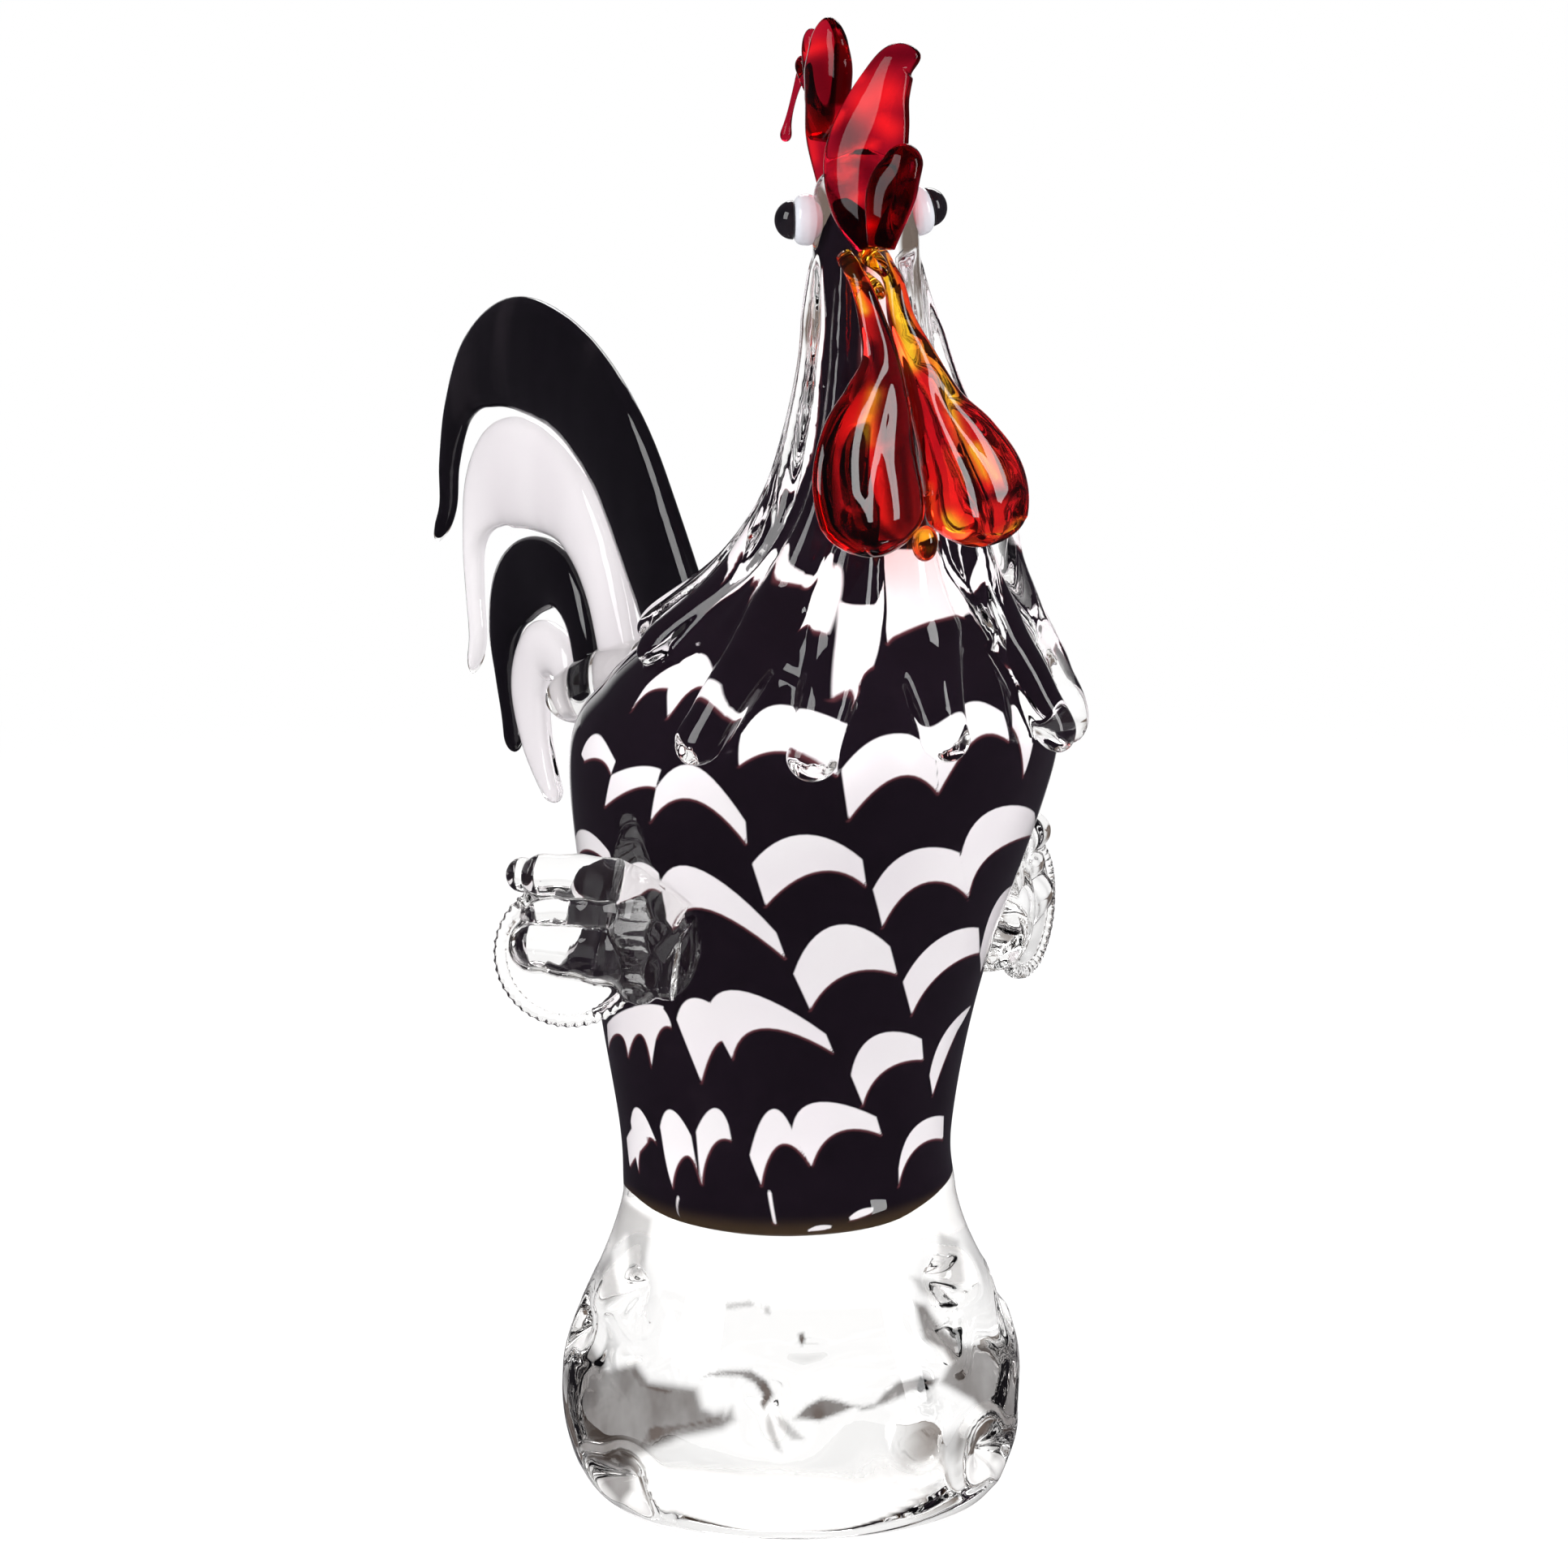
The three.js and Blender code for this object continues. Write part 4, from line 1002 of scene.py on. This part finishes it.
# Folds: stations of reach, lift and forward place, half heights, and thickness as a share of height
WING_ROLLS = [
    ([(-3, 4, 0), (4, 9, 1.0), (12, 11.2, 1.6), (20, 12.2, 1.6), (27.5, 12, 1.2)],
     [6, 5.2, 4.6, 4.2, 4.0], 1.15),
    ([(-3, -1, 0), (6, 4.6, 2.0), (14, 5.4, 2.6), (21, 5.4, 2.4), (27.6, 5.2, 1.6)],
     [7, 5.4, 4.2, 3.5, 2.9], 1.3),
    ([(-3, -4, 0), (6, -2.6, 1.4), (14, -2.0, 2.0), (22, -1.2, 1.8), (29.6, -0.4, 1.0)],
     [8, 7, 6.0, 5.2, 4.4], 1.05),
]


def make_wing(name, sign, height, material):
    root = on_body(sign * WING_TURN, height)
    back = math.radians(WING_SWEEP)
    out = np.array([sign * math.cos(back), math.sin(back), 0])
    up = np.array([0.0, 0, 1])
    front = np.cross(up, out) * sign

    def at(reach, lift, forward):
        return root + out * reach + up * lift + front * forward

    axes = (out, front, up)
    parts = [ellipsoid(at(*WING_ROOT[0]), axes, WING_ROOT[1], rows=28, columns=36)]
    # the fin: a disc with a thicker, finely notched rim
    columns = FIN_NOTCHES * 3
    angles = np.arange(columns) * 2 * math.pi / columns
    faces = [(*step, 1) for step in FIN_STEPS] + [(*step, -1) for step in FIN_STEPS[::-1]]
    rings = []
    for share, half, face in faces:
        notch = FIN_NOTCH_DEPTH * float(smoothstep(share, 0.85, 0.95))
        radii = FIN_RADIUS * share + notch * np.sin(angles * FIN_NOTCHES)
        rings.append([
            at(*(FIN_CENTRE + radius * np.array([math.cos(angle), math.sin(angle)])), face * half)
            for radius, angle in zip(radii, angles)
        ])
    parts.append(closed_tube(rings))
    for stations, halves, ratio in WING_ROLLS:
        path = through([at(*station) for station in stations])
        half = through(halves)
        parts.append(sweep(
            path, front, lambda t: [half(t)[0] * ratio, half(t)[0]], steps=50, sides=32, round_from=0.86,
            swell=lambda t, around: 1 + 0.03 * np.sin(t * 31 + np.cos(around) * 2)))
    parts.append(ellipsoid(at(*WING_KNOB[0]), axes, WING_KNOB[1]))
    piece = make_bit(name, joined(parts), material)
    fuse(piece, voxel=0.36, evenings=4)


# Tail: coloured strips cased in clear glass, on a clear stem

TAIL_ANCHOR = on_body(180, 155.0)
STEM_HALF_THICKNESS = 6.6
# Stations from the anchor: back, up, half width. A feather's have its half thickness too
STEM = [[-8, -1, 11], [8, 0, 10], [24, -1, 8.6], [38, -4.5, 7], [50, -9, 4.6]]
TAIL_FEATHERS = [
    [
        [-8, -2.5, 10.5, 4.2], [13, 29, 11.4, 4], [27, 47, 11.8, 3.8], [45, 59, 12.2, 3.6],
        [65.5, 63, 12.2, 3.4], [82, 58.5, 9, 3], [92, 49, 4.4, 2.6], [96.5, 37, 2.4, 2.2],
        [97.5, 27, 2, 1.9], [102.5, 19, 1.7, 1.7],
    ],
    [
        [23.5, -1, 6.2, 3.6], [31.5, 19, 6.6, 3.5], [43.5, 32, 8.6, 3.4], [58.5, 37.4, 11.3, 3.2],
        [72, 37, 11.6, 3], [81, 31, 8.6, 2.6], [86, 21, 3.2, 2.3], [86, 10, 2.1, 2],
        [85, 0, 2, 1.9], [87.5, -8, 1.7, 1.7],
    ],
    [
        [36, -4.5, 3.8, 3.4], [40.6, 9.6, 4.7, 3.3], [49, 17, 6.4, 3.2], [60, 17, 8.2, 3],
        [69, 12, 8.2, 2.8], [73.5, 3, 5, 2.5], [73, -6.5, 2.5, 2.2], [71, -15, 2.1, 2],
        [69.5, -22.5, 2.3, 2.1],
    ],
    [
        [43, -9, 3, 3.4], [48.6, 0, 5, 3.3], [57.5, 1, 6.6, 3.2], [62.5, -7, 6.6, 2.9],
        [60.5, -17.5, 5, 2.6], [56, -25.5, 3.2, 2.3], [52, -30.5, 1.8, 1.9],
    ],
]
# How far along its casing a coloured strip reaches, how far it lies inside, and its push to the outer edge
STRIP_REACH = 0.985
STRIP_INSETS = [(0.9, 0.25), (0.9, 0.2), (0.8, 0.3), (1.5, 0.4)]


def feather_shape(rows, inset=0.0, push=0.0, reach=1.0):
    """A feather along its stations, or the strip that lies so far inside it."""
    at = through(rows)

    def path(t):
        ahead = at(min(t * reach + 0.01, 1))[:2]
        behind = at(max(t * reach - 0.01, 0))[:2]
        run = unit(ahead - behind)
        y, z = at(t * reach)[:2] + np.array([-run[1], run[0]]) * push
        return TAIL_ANCHOR + np.array([0, y, z])

    def size(t):
        _, _, half_width, half_thick = at(t * reach)
        return [max(half_thick - inset * 0.75, 0.5), max(half_width - inset, 0.6)]

    return sweep(path, (1, 0, 0), size, steps=90, sides=36, round_from=0.93, square=2.2)


def make_tail(clear, colours):
    stem = through(STEM)

    def path(t):
        y, z = stem(t)[:2]
        return TAIL_ANCHOR + np.array([0, y, z])

    shape = sweep(path, (1, 0, 0), lambda t: [STEM_HALF_THICKNESS, stem(t)[2]],
                  steps=40, sides=36, round_from=0.86)
    make_bit("tail_stem", shape, clear)
    for index, rows in enumerate(TAIL_FEATHERS):
        name = f"tail_feather_{index + 1}"
        make_piece(f"{name}_clear", feather_shape(rows), clear, [f"{name}_casing"])
        strip = feather_shape(rows, *STRIP_INSETS[index], reach=STRIP_REACH)
        make_piece(f"{name}_strip", strip, colours[index % 2], [f"{name}_core"])


# Head: comb, beak and wattles

HEAD_TOP = np.array([-3.2, -24.5, 268.5])
CHEEK_FRONT = np.array([0, -34.5, 254.0])
BLADE_ACROSS = (-0.776, -0.582, 0.242)
# Lobes by stations from the top of the head: x, y, z, half width, half thickness
COMB_LOBES = [
    (BLADE_ACROSS, [
        [-4.2, -16.1, -17.2, 2.6, 2.0], [-2.7, -15.7, -11.3, 4.2, 2.8], [-1.2, -15.6, -6.2, 4.6, 3.0],
        [0.5, -16.3, -2.0, 4.0, 2.8], [1.8, -16.7, 1.6, 3.0, 2.2],
    ]),
    (BLADE_ACROSS, [
        [-2.0, -10.9, -17.5, 3.4, 2.4], [-2.2, -7.8, -10.3, 6.6, 3.2], [-1.0, -6.0, -2.2, 7.8, 3.3],
        [1.2, -5.7, 5.5, 6.9, 3.2], [3.3, -6.0, 11.4, 5.5, 3.0], [5.7, -7.2, 16.0, 4.0, 2.7],
        [8.6, -10.0, 17.6, 2.6, 2.2],
    ]),
    ((1, 0, 0), [
        [0.8, 9.5, -7.0, 2.2, 1.8], [0, 10.5, 1.3, 3.2, 2.4], [0, 8.6, 7.5, 5.8, 3.2],
        [0, 7.9, 13.6, 6.6, 3.3], [0.3, 8.2, 19.0, 4.6, 2.8], [0.4, 8.3, 24.0, 3.4, 2.4],
    ]),
    ((1, 0, 0), [[2.4, 12, 2, 2.2, 2.0], [3.2, 16.2, 10, 2.4, 2.2], [3.4, 19, 21.4, 2.3, 2.2]]),
    ((1, 0, 0), [[4.2, 17, 7, 2.0, 1.9], [4.5, 20.5, 11.5, 2.1, 2.0], [4.4, 24, 15.8, 2.0, 1.9]]),
    ((1, 0, 0), [
        [4.4, 22.6, 14.6, 1.2, 1.2], [4.3, 25.8, 9.0, 0.6, 0.6],
        [3.7, 27.4, 3.4, 0.7, 0.7], [3.2, 27.8, -0.5, 1.6, 1.4],
    ]),
]
# Bright and deep places in the comb, by pixels of the picture: from, to, half width
COMB_BRIGHT = [
    (1066, 127, 1091, 115, 20), (1088, 150, 1097, 159, 14), (1040, 197, 1078, 178, 6),
    (1037, 220, 1050, 213, 5), (1040, 255, 1059, 245, 6), (1066, 287, 1075, 277, 8),
    (1094, 277, 1099, 264, 6), (999, 64, 1015, 57, 9), (1043, 64, 1059, 96, 9),
    (999, 134, 1005, 197, 5), (1027, 156, 1040, 140, 6),
]
COMB_DEEP = [
    (1011, 80, 1027, 134, 22), (1043, 153, 1053, 191, 22), (1034, 229, 1059, 289, 18),
    (1070, 214, 1085, 231, 20), (1063, 90, 1085, 72, 14), (1085, 70, 1128, 64, 14),
    (1120, 96, 1117, 172, 9), (1104, 250, 1104, 285, 22),
]


def lobe_shape(index, across, rows):
    at = through(rows)
    return sweep(
        lambda t: HEAD_TOP + at(t)[:3], across, lambda t: [at(t)[4], at(t)[3]],
        steps=60, sides=36, round_from=0.8, square=2.2,
        swell=lambda t, around: 1 + 0.05 * np.sin(around * 2 + t * 9 + index) * math.sin(t * 3))


def make_comb(material):
    for index, lobe in enumerate(COMB_LOBES):
        shape = lobe_shape(index, *lobe)
        piece = make_bit(f"comb_lobe_{index + 1}", shape, material)
        add_streaks(piece, shape, {"bright": COMB_BRIGHT, "deep": COMB_DEEP})


# Stations of the beak and the wattles from the front of the cheek: distance from the middle line, y, z,
# half width, half thickness
BEAK_UPPER = [[-5.1, 2.5, -4.5, 1.5, 2.0], [-5.2, -2, -6, 1.4, 1.7], [-5.3, -4.8, -8, 0.9, 0.9]]
BEAK_LOWER = [[-5.1, 2.5, -9.6, 1.4, 1.8], [-5.2, -1.4, -10.8, 1.3, 1.5], [-5.3, -3.6, -12.2, 0.8, 0.8]]
WATTLE_STEM = [
    [3.6, 4, -5, 1.7, 1.8], [3.7, -1.6, -9.5, 1.9, 1.9], [3.3, -4.5, -16.5, 2.8, 2.2],
    [4.2, -6.6, -23.5, 3.9, 2.7],
]
WATTLE_LEFT = WATTLE_STEM + [
    [6.4, -9, -32.5, 6.1, 3.4], [9.8, -11.2, -40, 9.5, 4.0], [12, -13.2, -47, 11.6, 4.5],
    [11.6, -14.7, -53.5, 11, 4.4], [11.2, -15.6, -58.5, 9, 3.8],
]
WATTLE_RIGHT = WATTLE_STEM + [
    [7.2, -9, -31, 7.2, 3.4], [10.4, -11.2, -38.5, 10.2, 4.0], [12, -13.2, -45.5, 11.7, 4.5],
    [11.6, -14.7, -52.5, 11.2, 4.4], [11.2, -15.6, -58.5, 9.4, 3.8],
]
# Where the middle line of the wattles lies at each station
WATTLE_MIDDLE = [-5.1, -5.3, -4.9, -3.6, -3, -3, -3, -3, -3]
# A small drop between the two: middle and half sizes
BETWEEN_WATTLES = (-3, -49, 197)
BETWEEN_WATTLES_HALVES = (2.6, 2.2, 3.4)
# Folds on a wattle: angle at its start and end (90 is the front), start, end, depth, half width
WATTLE_FOLDS = [
    (98, 74, 0.4, 0.94, 0.24, 20), (46, 40, 0.78, 1.0, 0.22, 16), (270, 262, 0.5, 0.98, 0.2, 20),
]
# Amber streaks in the wattles, by pixels of the picture: from, to, half width
AMBER_STREAKS = [
    (1044, 306, 1050, 322, 6), (1047, 326, 1066, 384, 4), (1074, 486, 1058, 540, 6),
    (1066, 520, 1066, 550, 4), (1086, 312, 1094, 344, 7), (1096, 344, 1108, 392, 6),
    (1112, 396, 1124, 448, 8), (1138, 430, 1176, 492, 6), (1152, 456, 1196, 590, 5),
    (1200, 552, 1222, 590, 5), (1166, 640, 1204, 674, 8), (1226, 668, 1256, 648, 8),
    (1140, 662, 1152, 676, 9), (1145, 600, 1150, 640, 4),
]
# Places where the glass runs deep and dark
DARK_STREAKS = [
    (1086, 398, 1112, 560, 15), (1112, 540, 1118, 640, 15), (1040, 560, 1052, 620, 16),
    (1060, 640, 1100, 664, 12), (1215, 612, 1250, 606, 9), (1064, 470, 1058, 478, 9),
    (1014, 560, 1026, 640, 20), (1030, 648, 1080, 670, 16), (1076, 430, 1090, 540, 16),
    (1096, 560, 1108, 650, 18),
]


def add_streaks(piece, shape, kinds):
    """Gives each point of a piece its share in the streaks of each kind."""
    spots = to_pixels(shape[0])
    for name, streaks in kinds.items():
        share = np.zeros(len(spots))
        for x0, y0, x1, y1, width in streaks:
            start, run = np.array([x0, y0], float), np.array([x1 - x0, y1 - y0], float)
            along = np.clip(((spots - start) @ run) / (run @ run), 0, 1)
            apart = np.linalg.norm(spots - start - along[:, None] * run, axis=1)
            share = np.maximum(share, np.exp(-((apart / width) ** 2)))
        add_values(piece, name, share)


def hanging_shape(rows, middles, mirror=1, folds=(), steps=70):
    """A drop of the face, along its stations."""
    at = through(rows)
    middle = through(middles)

    def path(t):
        side, y, z = at(t)[:3]
        return CHEEK_FRONT + np.array([mirror * side + middle(t)[0], y, z])

    def swell(t, around):
        scale = np.ones_like(around)
        for first, last, start, end, depth, width in folds:
            if start < t < end:
                share = (t - start) / (end - start)
                place = first + (last - first) * share
                away = turn_apart(np.degrees(around), place if mirror > 0 else 180 - place)
                strength = depth * math.sin(math.pi * min(share * 1.6, 0.5 + share * 0.2))
                scale -= strength * np.exp(-((away / width) ** 2))
        return scale

    return sweep(path, (1, 0, 0), lambda t: at(t)[3:5], steps, sides=72, round_from=0.84, swell=swell)


def make_face(amber, red_amber):
    for name, rows in (("beak_upper", BEAK_UPPER), ("beak_lower", BEAK_LOWER)):
        make_bit(name, hanging_shape(rows, [0, 0]), amber)
    for name, rows, mirror in (("wattle_left", WATTLE_LEFT, 1), ("wattle_right", WATTLE_RIGHT, -1)):
        shape = hanging_shape(rows, WATTLE_MIDDLE, mirror, WATTLE_FOLDS, 110)
        if mirror > 0:
            shape = joined([shape, ellipsoid(BETWEEN_WATTLES, np.eye(3), BETWEEN_WATTLES_HALVES)])
        piece = make_bit(name, shape, red_amber)
        add_streaks(piece, shape, {"amber": AMBER_STREAKS, "dark": DARK_STREAKS})


# Eyes

# Side, turn about the upright axis and tilt upward in degrees, height, how far the disc is sunk
EYES = {"left": (1, -16, 12, 256.2, 0.6), "right": (-1, -28, 0, 255.0, 0.0)}
# How far the eyes sit behind the head's middle, and how far the white stands out
EYE_BACK = 1.1
EYE_WHITE_STAND = 3.7
# Points of the white's section: distance out of the cheek, radius
EYE_WHITE_RIM = [(-2.8, 3.4), (0.2, 4.7), (1.5, 4.85), (2.8, 4.5), (3.55, 3.4), (3.7, 1.1)]
# The black bead on the white
EYE_BEAD_RADIUS = 3.7
EYE_BEAD_STAND = 3.5


def eye_body(profile, side, turn, tilt, height, sink, columns=48):
    """A body turned about the eye's axis, from points of distance out of the cheek and radius."""
    angles = np.arange(columns) * 2 * math.pi / columns
    turn, tilt = math.radians(turn), math.radians(tilt) * side
    surface = math.sqrt(float(body_radius(height)) ** 2 - EYE_BACK**2) - sink
    centre = float(body_centre(height))
    rings = []
    for along, radius in profile:
        out = side * along
        up = radius * np.sin(angles)
        x = side * surface + out * math.cos(tilt) - up * math.sin(tilt)
        z = height + out * math.sin(tilt) + up * math.cos(tilt)
        y = EYE_BACK + radius * np.cos(angles)
        rings.append(np.stack([
            x * math.cos(turn) - y * math.sin(turn),
            centre + x * math.sin(turn) + y * math.cos(turn),
            z,
        ], 1))
    return closed_tube(rings)


def make_eyes(white, black):
    rim = through(EYE_WHITE_RIM)
    white_profile = [rim(t) for t in np.linspace(0, 1, 26)]
    bead_profile = [
        (EYE_WHITE_STAND + EYE_BEAD_STAND * share, EYE_BEAD_RADIUS * math.sqrt(1 - share**2))
        for share in np.sin(np.linspace(0.0, 1.52, 18))
    ]
    for name, place in EYES.items():
        make_bit(f"eye_white_{name}", eye_body(white_profile, *place), white)
        make_bit(f"eye_pupil_{name}", eye_body(bead_profile, *place), black)


# Stage: a pale floor, a white surround and soft lamps

# The room past the white sheet, as it shows through glass
ROOM = (0.19, 0.15, 0.125)
# What glass mirrors past the bright ground behind the object
DIM = (0.05, 0.045, 0.055)
# The floor, in metres: half its side, number of cells along it, and how far it lies under the part
FLOOR_HALF = 12.0
FLOOR_CELLS = 24
FLOOR_DROP = 0.0002
# Lamps, in metres and watts: place to the camera's right, toward the camera and up, then size, then power
LAMPS = {
    "key": ((-0.95, 0.75, 0.85), (0.65, 0.9), 9.5),
    "fill": ((1.1, 0.55, 0.6), (0.3, 0.9), 6),
    "back": ((0.2, -1.2, 1.0), (1.0, 0.5), 8),
}
LAMP_TARGET = Vector((0, 0, 0.16))


def through_glass_share(nodes, path):
    """1 for a ray through glass that has met no matt surface."""
    unscattered = nodes.math("LESS_THAN", path.outputs["Diffuse Depth"], 0.5)
    return nodes.times(path.outputs["Is Transmission Ray"], unscattered)


def mirrored_share(nodes, path):
    """1 for a mirrored ray. A ray through glass counts as glossy too, so it is taken out."""
    mirror = nodes.math("SUBTRACT", path.outputs["Is Glossy Ray"], path.outputs["Is Transmission Ray"])
    return nodes.math("MAXIMUM", mirror, 0.0)


def floor_paper():
    material, nodes = new_material("floor_paper")
    tint = nodes.ramp(nodes.grain(6, 3), [(0.3, grey(0.94)), (0.7, grey(0.97))])
    paper = nodes.add("ShaderNodeBsdfDiffuse", {"Color": tint}).outputs["BSDF"]
    path = nodes.add("ShaderNodeLightPath")
    place = nodes.place()
    along = nodes.dot(place, look_level)
    side = nodes.math("ABSOLUTE", nodes.dot(place, look_right))
    # seen directly: white, with the object's shadow near it
    reach = nodes.add("ShaderNodeVectorMath", {0: place}, operation="LENGTH").outputs["Value"]
    white_share = nodes.math("ADD", nodes.times(nodes.fade(reach, 0.3, 0.9), 0.3), 0.7)
    seen = nodes.blend(white_share, paper, nodes.glow(WHITE))
    # seen through glass: the white sheet ends, and past it at both sides lies a darker room
    spread = nodes.math("SUBTRACT", side, nodes.times(nodes.math("MAXIMUM", along, 0.0), 0.35))
    sheet = nodes.times(nodes.fade(spread, 0.5, 0.25), nodes.fade(along, -0.7, -0.35))
    room = nodes.glow(nodes.mixed(sheet, ROOM, WHITE))
    through_glass = nodes.blend(nodes.math("SUBTRACT", 1.0, nodes.times(sheet, 0.3)), paper, room)
    # mirrored in glass: bright behind the object and dim elsewhere
    behind = nodes.fade(nodes.math("SUBTRACT", along, nodes.times(side, 2.0)), 0.15, 0.5)
    mirrored = nodes.glow(nodes.mixed(behind, DIM, WHITE))
    surface = nodes.blend(path.outputs["Is Camera Ray"], paper, seen)
    surface = nodes.blend(mirrored_share(nodes, path), surface, mirrored)
    nodes.surface(nodes.blend(through_glass_share(nodes, path), surface, through_glass))
    return material


def make_floor():
    count = FLOOR_CELLS + 1
    spots = np.linspace(-FLOOR_HALF, FLOOR_HALF, count)
    vertices = [(x, y, -FLOOR_DROP) for y in spots for x in spots]
    faces = [
        (low, low + 1, low + count + 1, low + count)
        for row in range(FLOOR_CELLS) for low in range(row * count, row * count + FLOOR_CELLS)
    ]
    mesh = bpy.data.meshes.new("floor")
    mesh.from_pydata(vertices, [], faces)
    mesh.materials.append(floor_paper())
    floor = add_object("floor", mesh)


def make_world():
    world = bpy.data.worlds.new("studio")
    bpy.context.scene.world = world
    world.use_nodes = True
    nodes = Nodes(world.node_tree)
    path = nodes.add("ShaderNodeLightPath")
    way = nodes.add("ShaderNodeTexCoord").outputs["Generated"]
    up = nodes.dot(way, (0, 0, 1))
    ahead = nodes.dot(way, look_level)
    # seen through glass: white, with a darker room low at both sides and high above
    sides = nodes.times(nodes.fade(ahead, 0.92, 0.74), nodes.fade(up, 0.32, 0.16))
    above = nodes.times(nodes.fade(up, 0.62, 0.8), nodes.fade(up, 0.95, 0.9))
    dark = nodes.math("MAXIMUM", sides, nodes.times(above, 0.75))
    through_glass = nodes.mixed(dark, WHITE, ROOM)
    # mirrored in glass: bright behind the object and dim elsewhere
    mirrored = nodes.mixed(nodes.fade(ahead, 0.86, 0.98), DIM, grey(0.95))
    colour = nodes.mixed(mirrored_share(nodes, path), (0.82, 0.82, 0.83), mirrored)
    colour = nodes.mixed(through_glass_share(nodes, path), colour, through_glass)
    colour = nodes.mixed(path.outputs["Is Camera Ray"], colour, WHITE)
    background = nodes.add("ShaderNodeBackground", {"Color": colour})
    nodes.add("ShaderNodeOutputWorld", {"Surface": background.outputs["Background"]})


def make_lamps():
    for name, ((side, toward, height), size, power) in LAMPS.items():
        data = bpy.data.lights.new(name, "AREA")
        data.shape = "RECTANGLE"
        data.size, data.size_y = size
        data.energy = power
        lamp = add_object(name, data)
        lamp.location = Vector(look_right * side - look_level * toward) + Vector((0, 0, height))
        lamp.rotation_euler = (LAMP_TARGET - lamp.location).to_track_quat("-Z", "Y").to_euler()


make_camera()
make_floor()
make_world()
make_lamps()
bpy.context.scene.view_settings.view_transform = "Standard"

clear_body_glass = clear_glass("clear_body_glass", is_body=True)
clear_bit_glass = clear_glass("clear_bit_glass", waves=90, strength=0.1)
red_glass = coloured_glass(
    "red_glass", [
        (0.35, (0.22, 0.003, 0.016)), (0.48, (0.34, 0.006, 0.024)),
        (0.6, (0.55, 0.009, 0.03)), (0.72, (0.26, 0.004, 0.02)),
    ], density=90, keeps=(0.93, 0.2, 0.28), ior=SOFT_SHINE_IOR,
    marks={"deep": (0.15, 0.002, 0.011), "bright": (1.0, 0.02, 0.03)})
amber_glass = coloured_glass(
    "amber_glass", [(0.3, (1.0, 0.5, 0.03)), (0.6, (1.0, 0.72, 0.08)), (0.8, (0.97, 0.22, 0.02))],
    density=60, keeps=(0.98, 0.6, 0.2), marks={}, grain=90, stretch=(1, 1, 0.25))
red_amber_glass = coloured_glass(
    "red_amber_glass", [
        (0.35, (0.5, 0.006, 0.013)), (0.5, (0.8, 0.016, 0.015)),
        (0.65, (0.92, 0.05, 0.02)), (0.78, (0.6, 0.008, 0.015)),
    ], density=40, keeps=(0.95, 0.35, 0.3),
    marks={"dark": (0.06, 0.002, 0.005), "amber": (1.0, 0.66, 0.03)})
black_strip = cased_colour("black_strip", [
    (0.3, (0.004, 0.003, 0.005)), (0.6, (0.006, 0.005, 0.007)), (0.85, (0.02, 0.016, 0.02)),
])
white_strip = cased_colour("white_strip", [(0.3, (0.69, 0.66, 0.685)), (0.7, (0.79, 0.765, 0.785))])
eye_white = opaque_glass("eye_white", [(0.3, (0.62, 0.63, 0.68)), (0.7, (0.7, 0.71, 0.75))])
eye_black = opaque_glass("eye_black", [(0.3, (0.006, 0.005, 0.007)), (0.8, (0.02, 0.016, 0.02))])

clear_parts = [trunk_shape()] + [hackle_shape(*feather) for feather in HACKLE_FEATHERS]
clear_body = make_piece(
    "clear_body", joined(clear_parts), clear_body_glass,
    ["foot", "clear_casing"] + [f"hackle_feather_{i + 1}" for i in range(len(HACKLE_FEATHERS))])
fuse(clear_body, voxel=0.62, evenings=9)
paint_foot_shade(clear_body)
make_core(feathered_glass())
for wing_name, wing_place in WINGS.items():
    make_wing(wing_name, *wing_place, clear_bit_glass)
make_tail(clear_bit_glass, (black_strip, white_strip))
make_comb(red_glass)
make_face(amber_glass, red_amber_glass)
make_eyes(eye_white, eye_black)
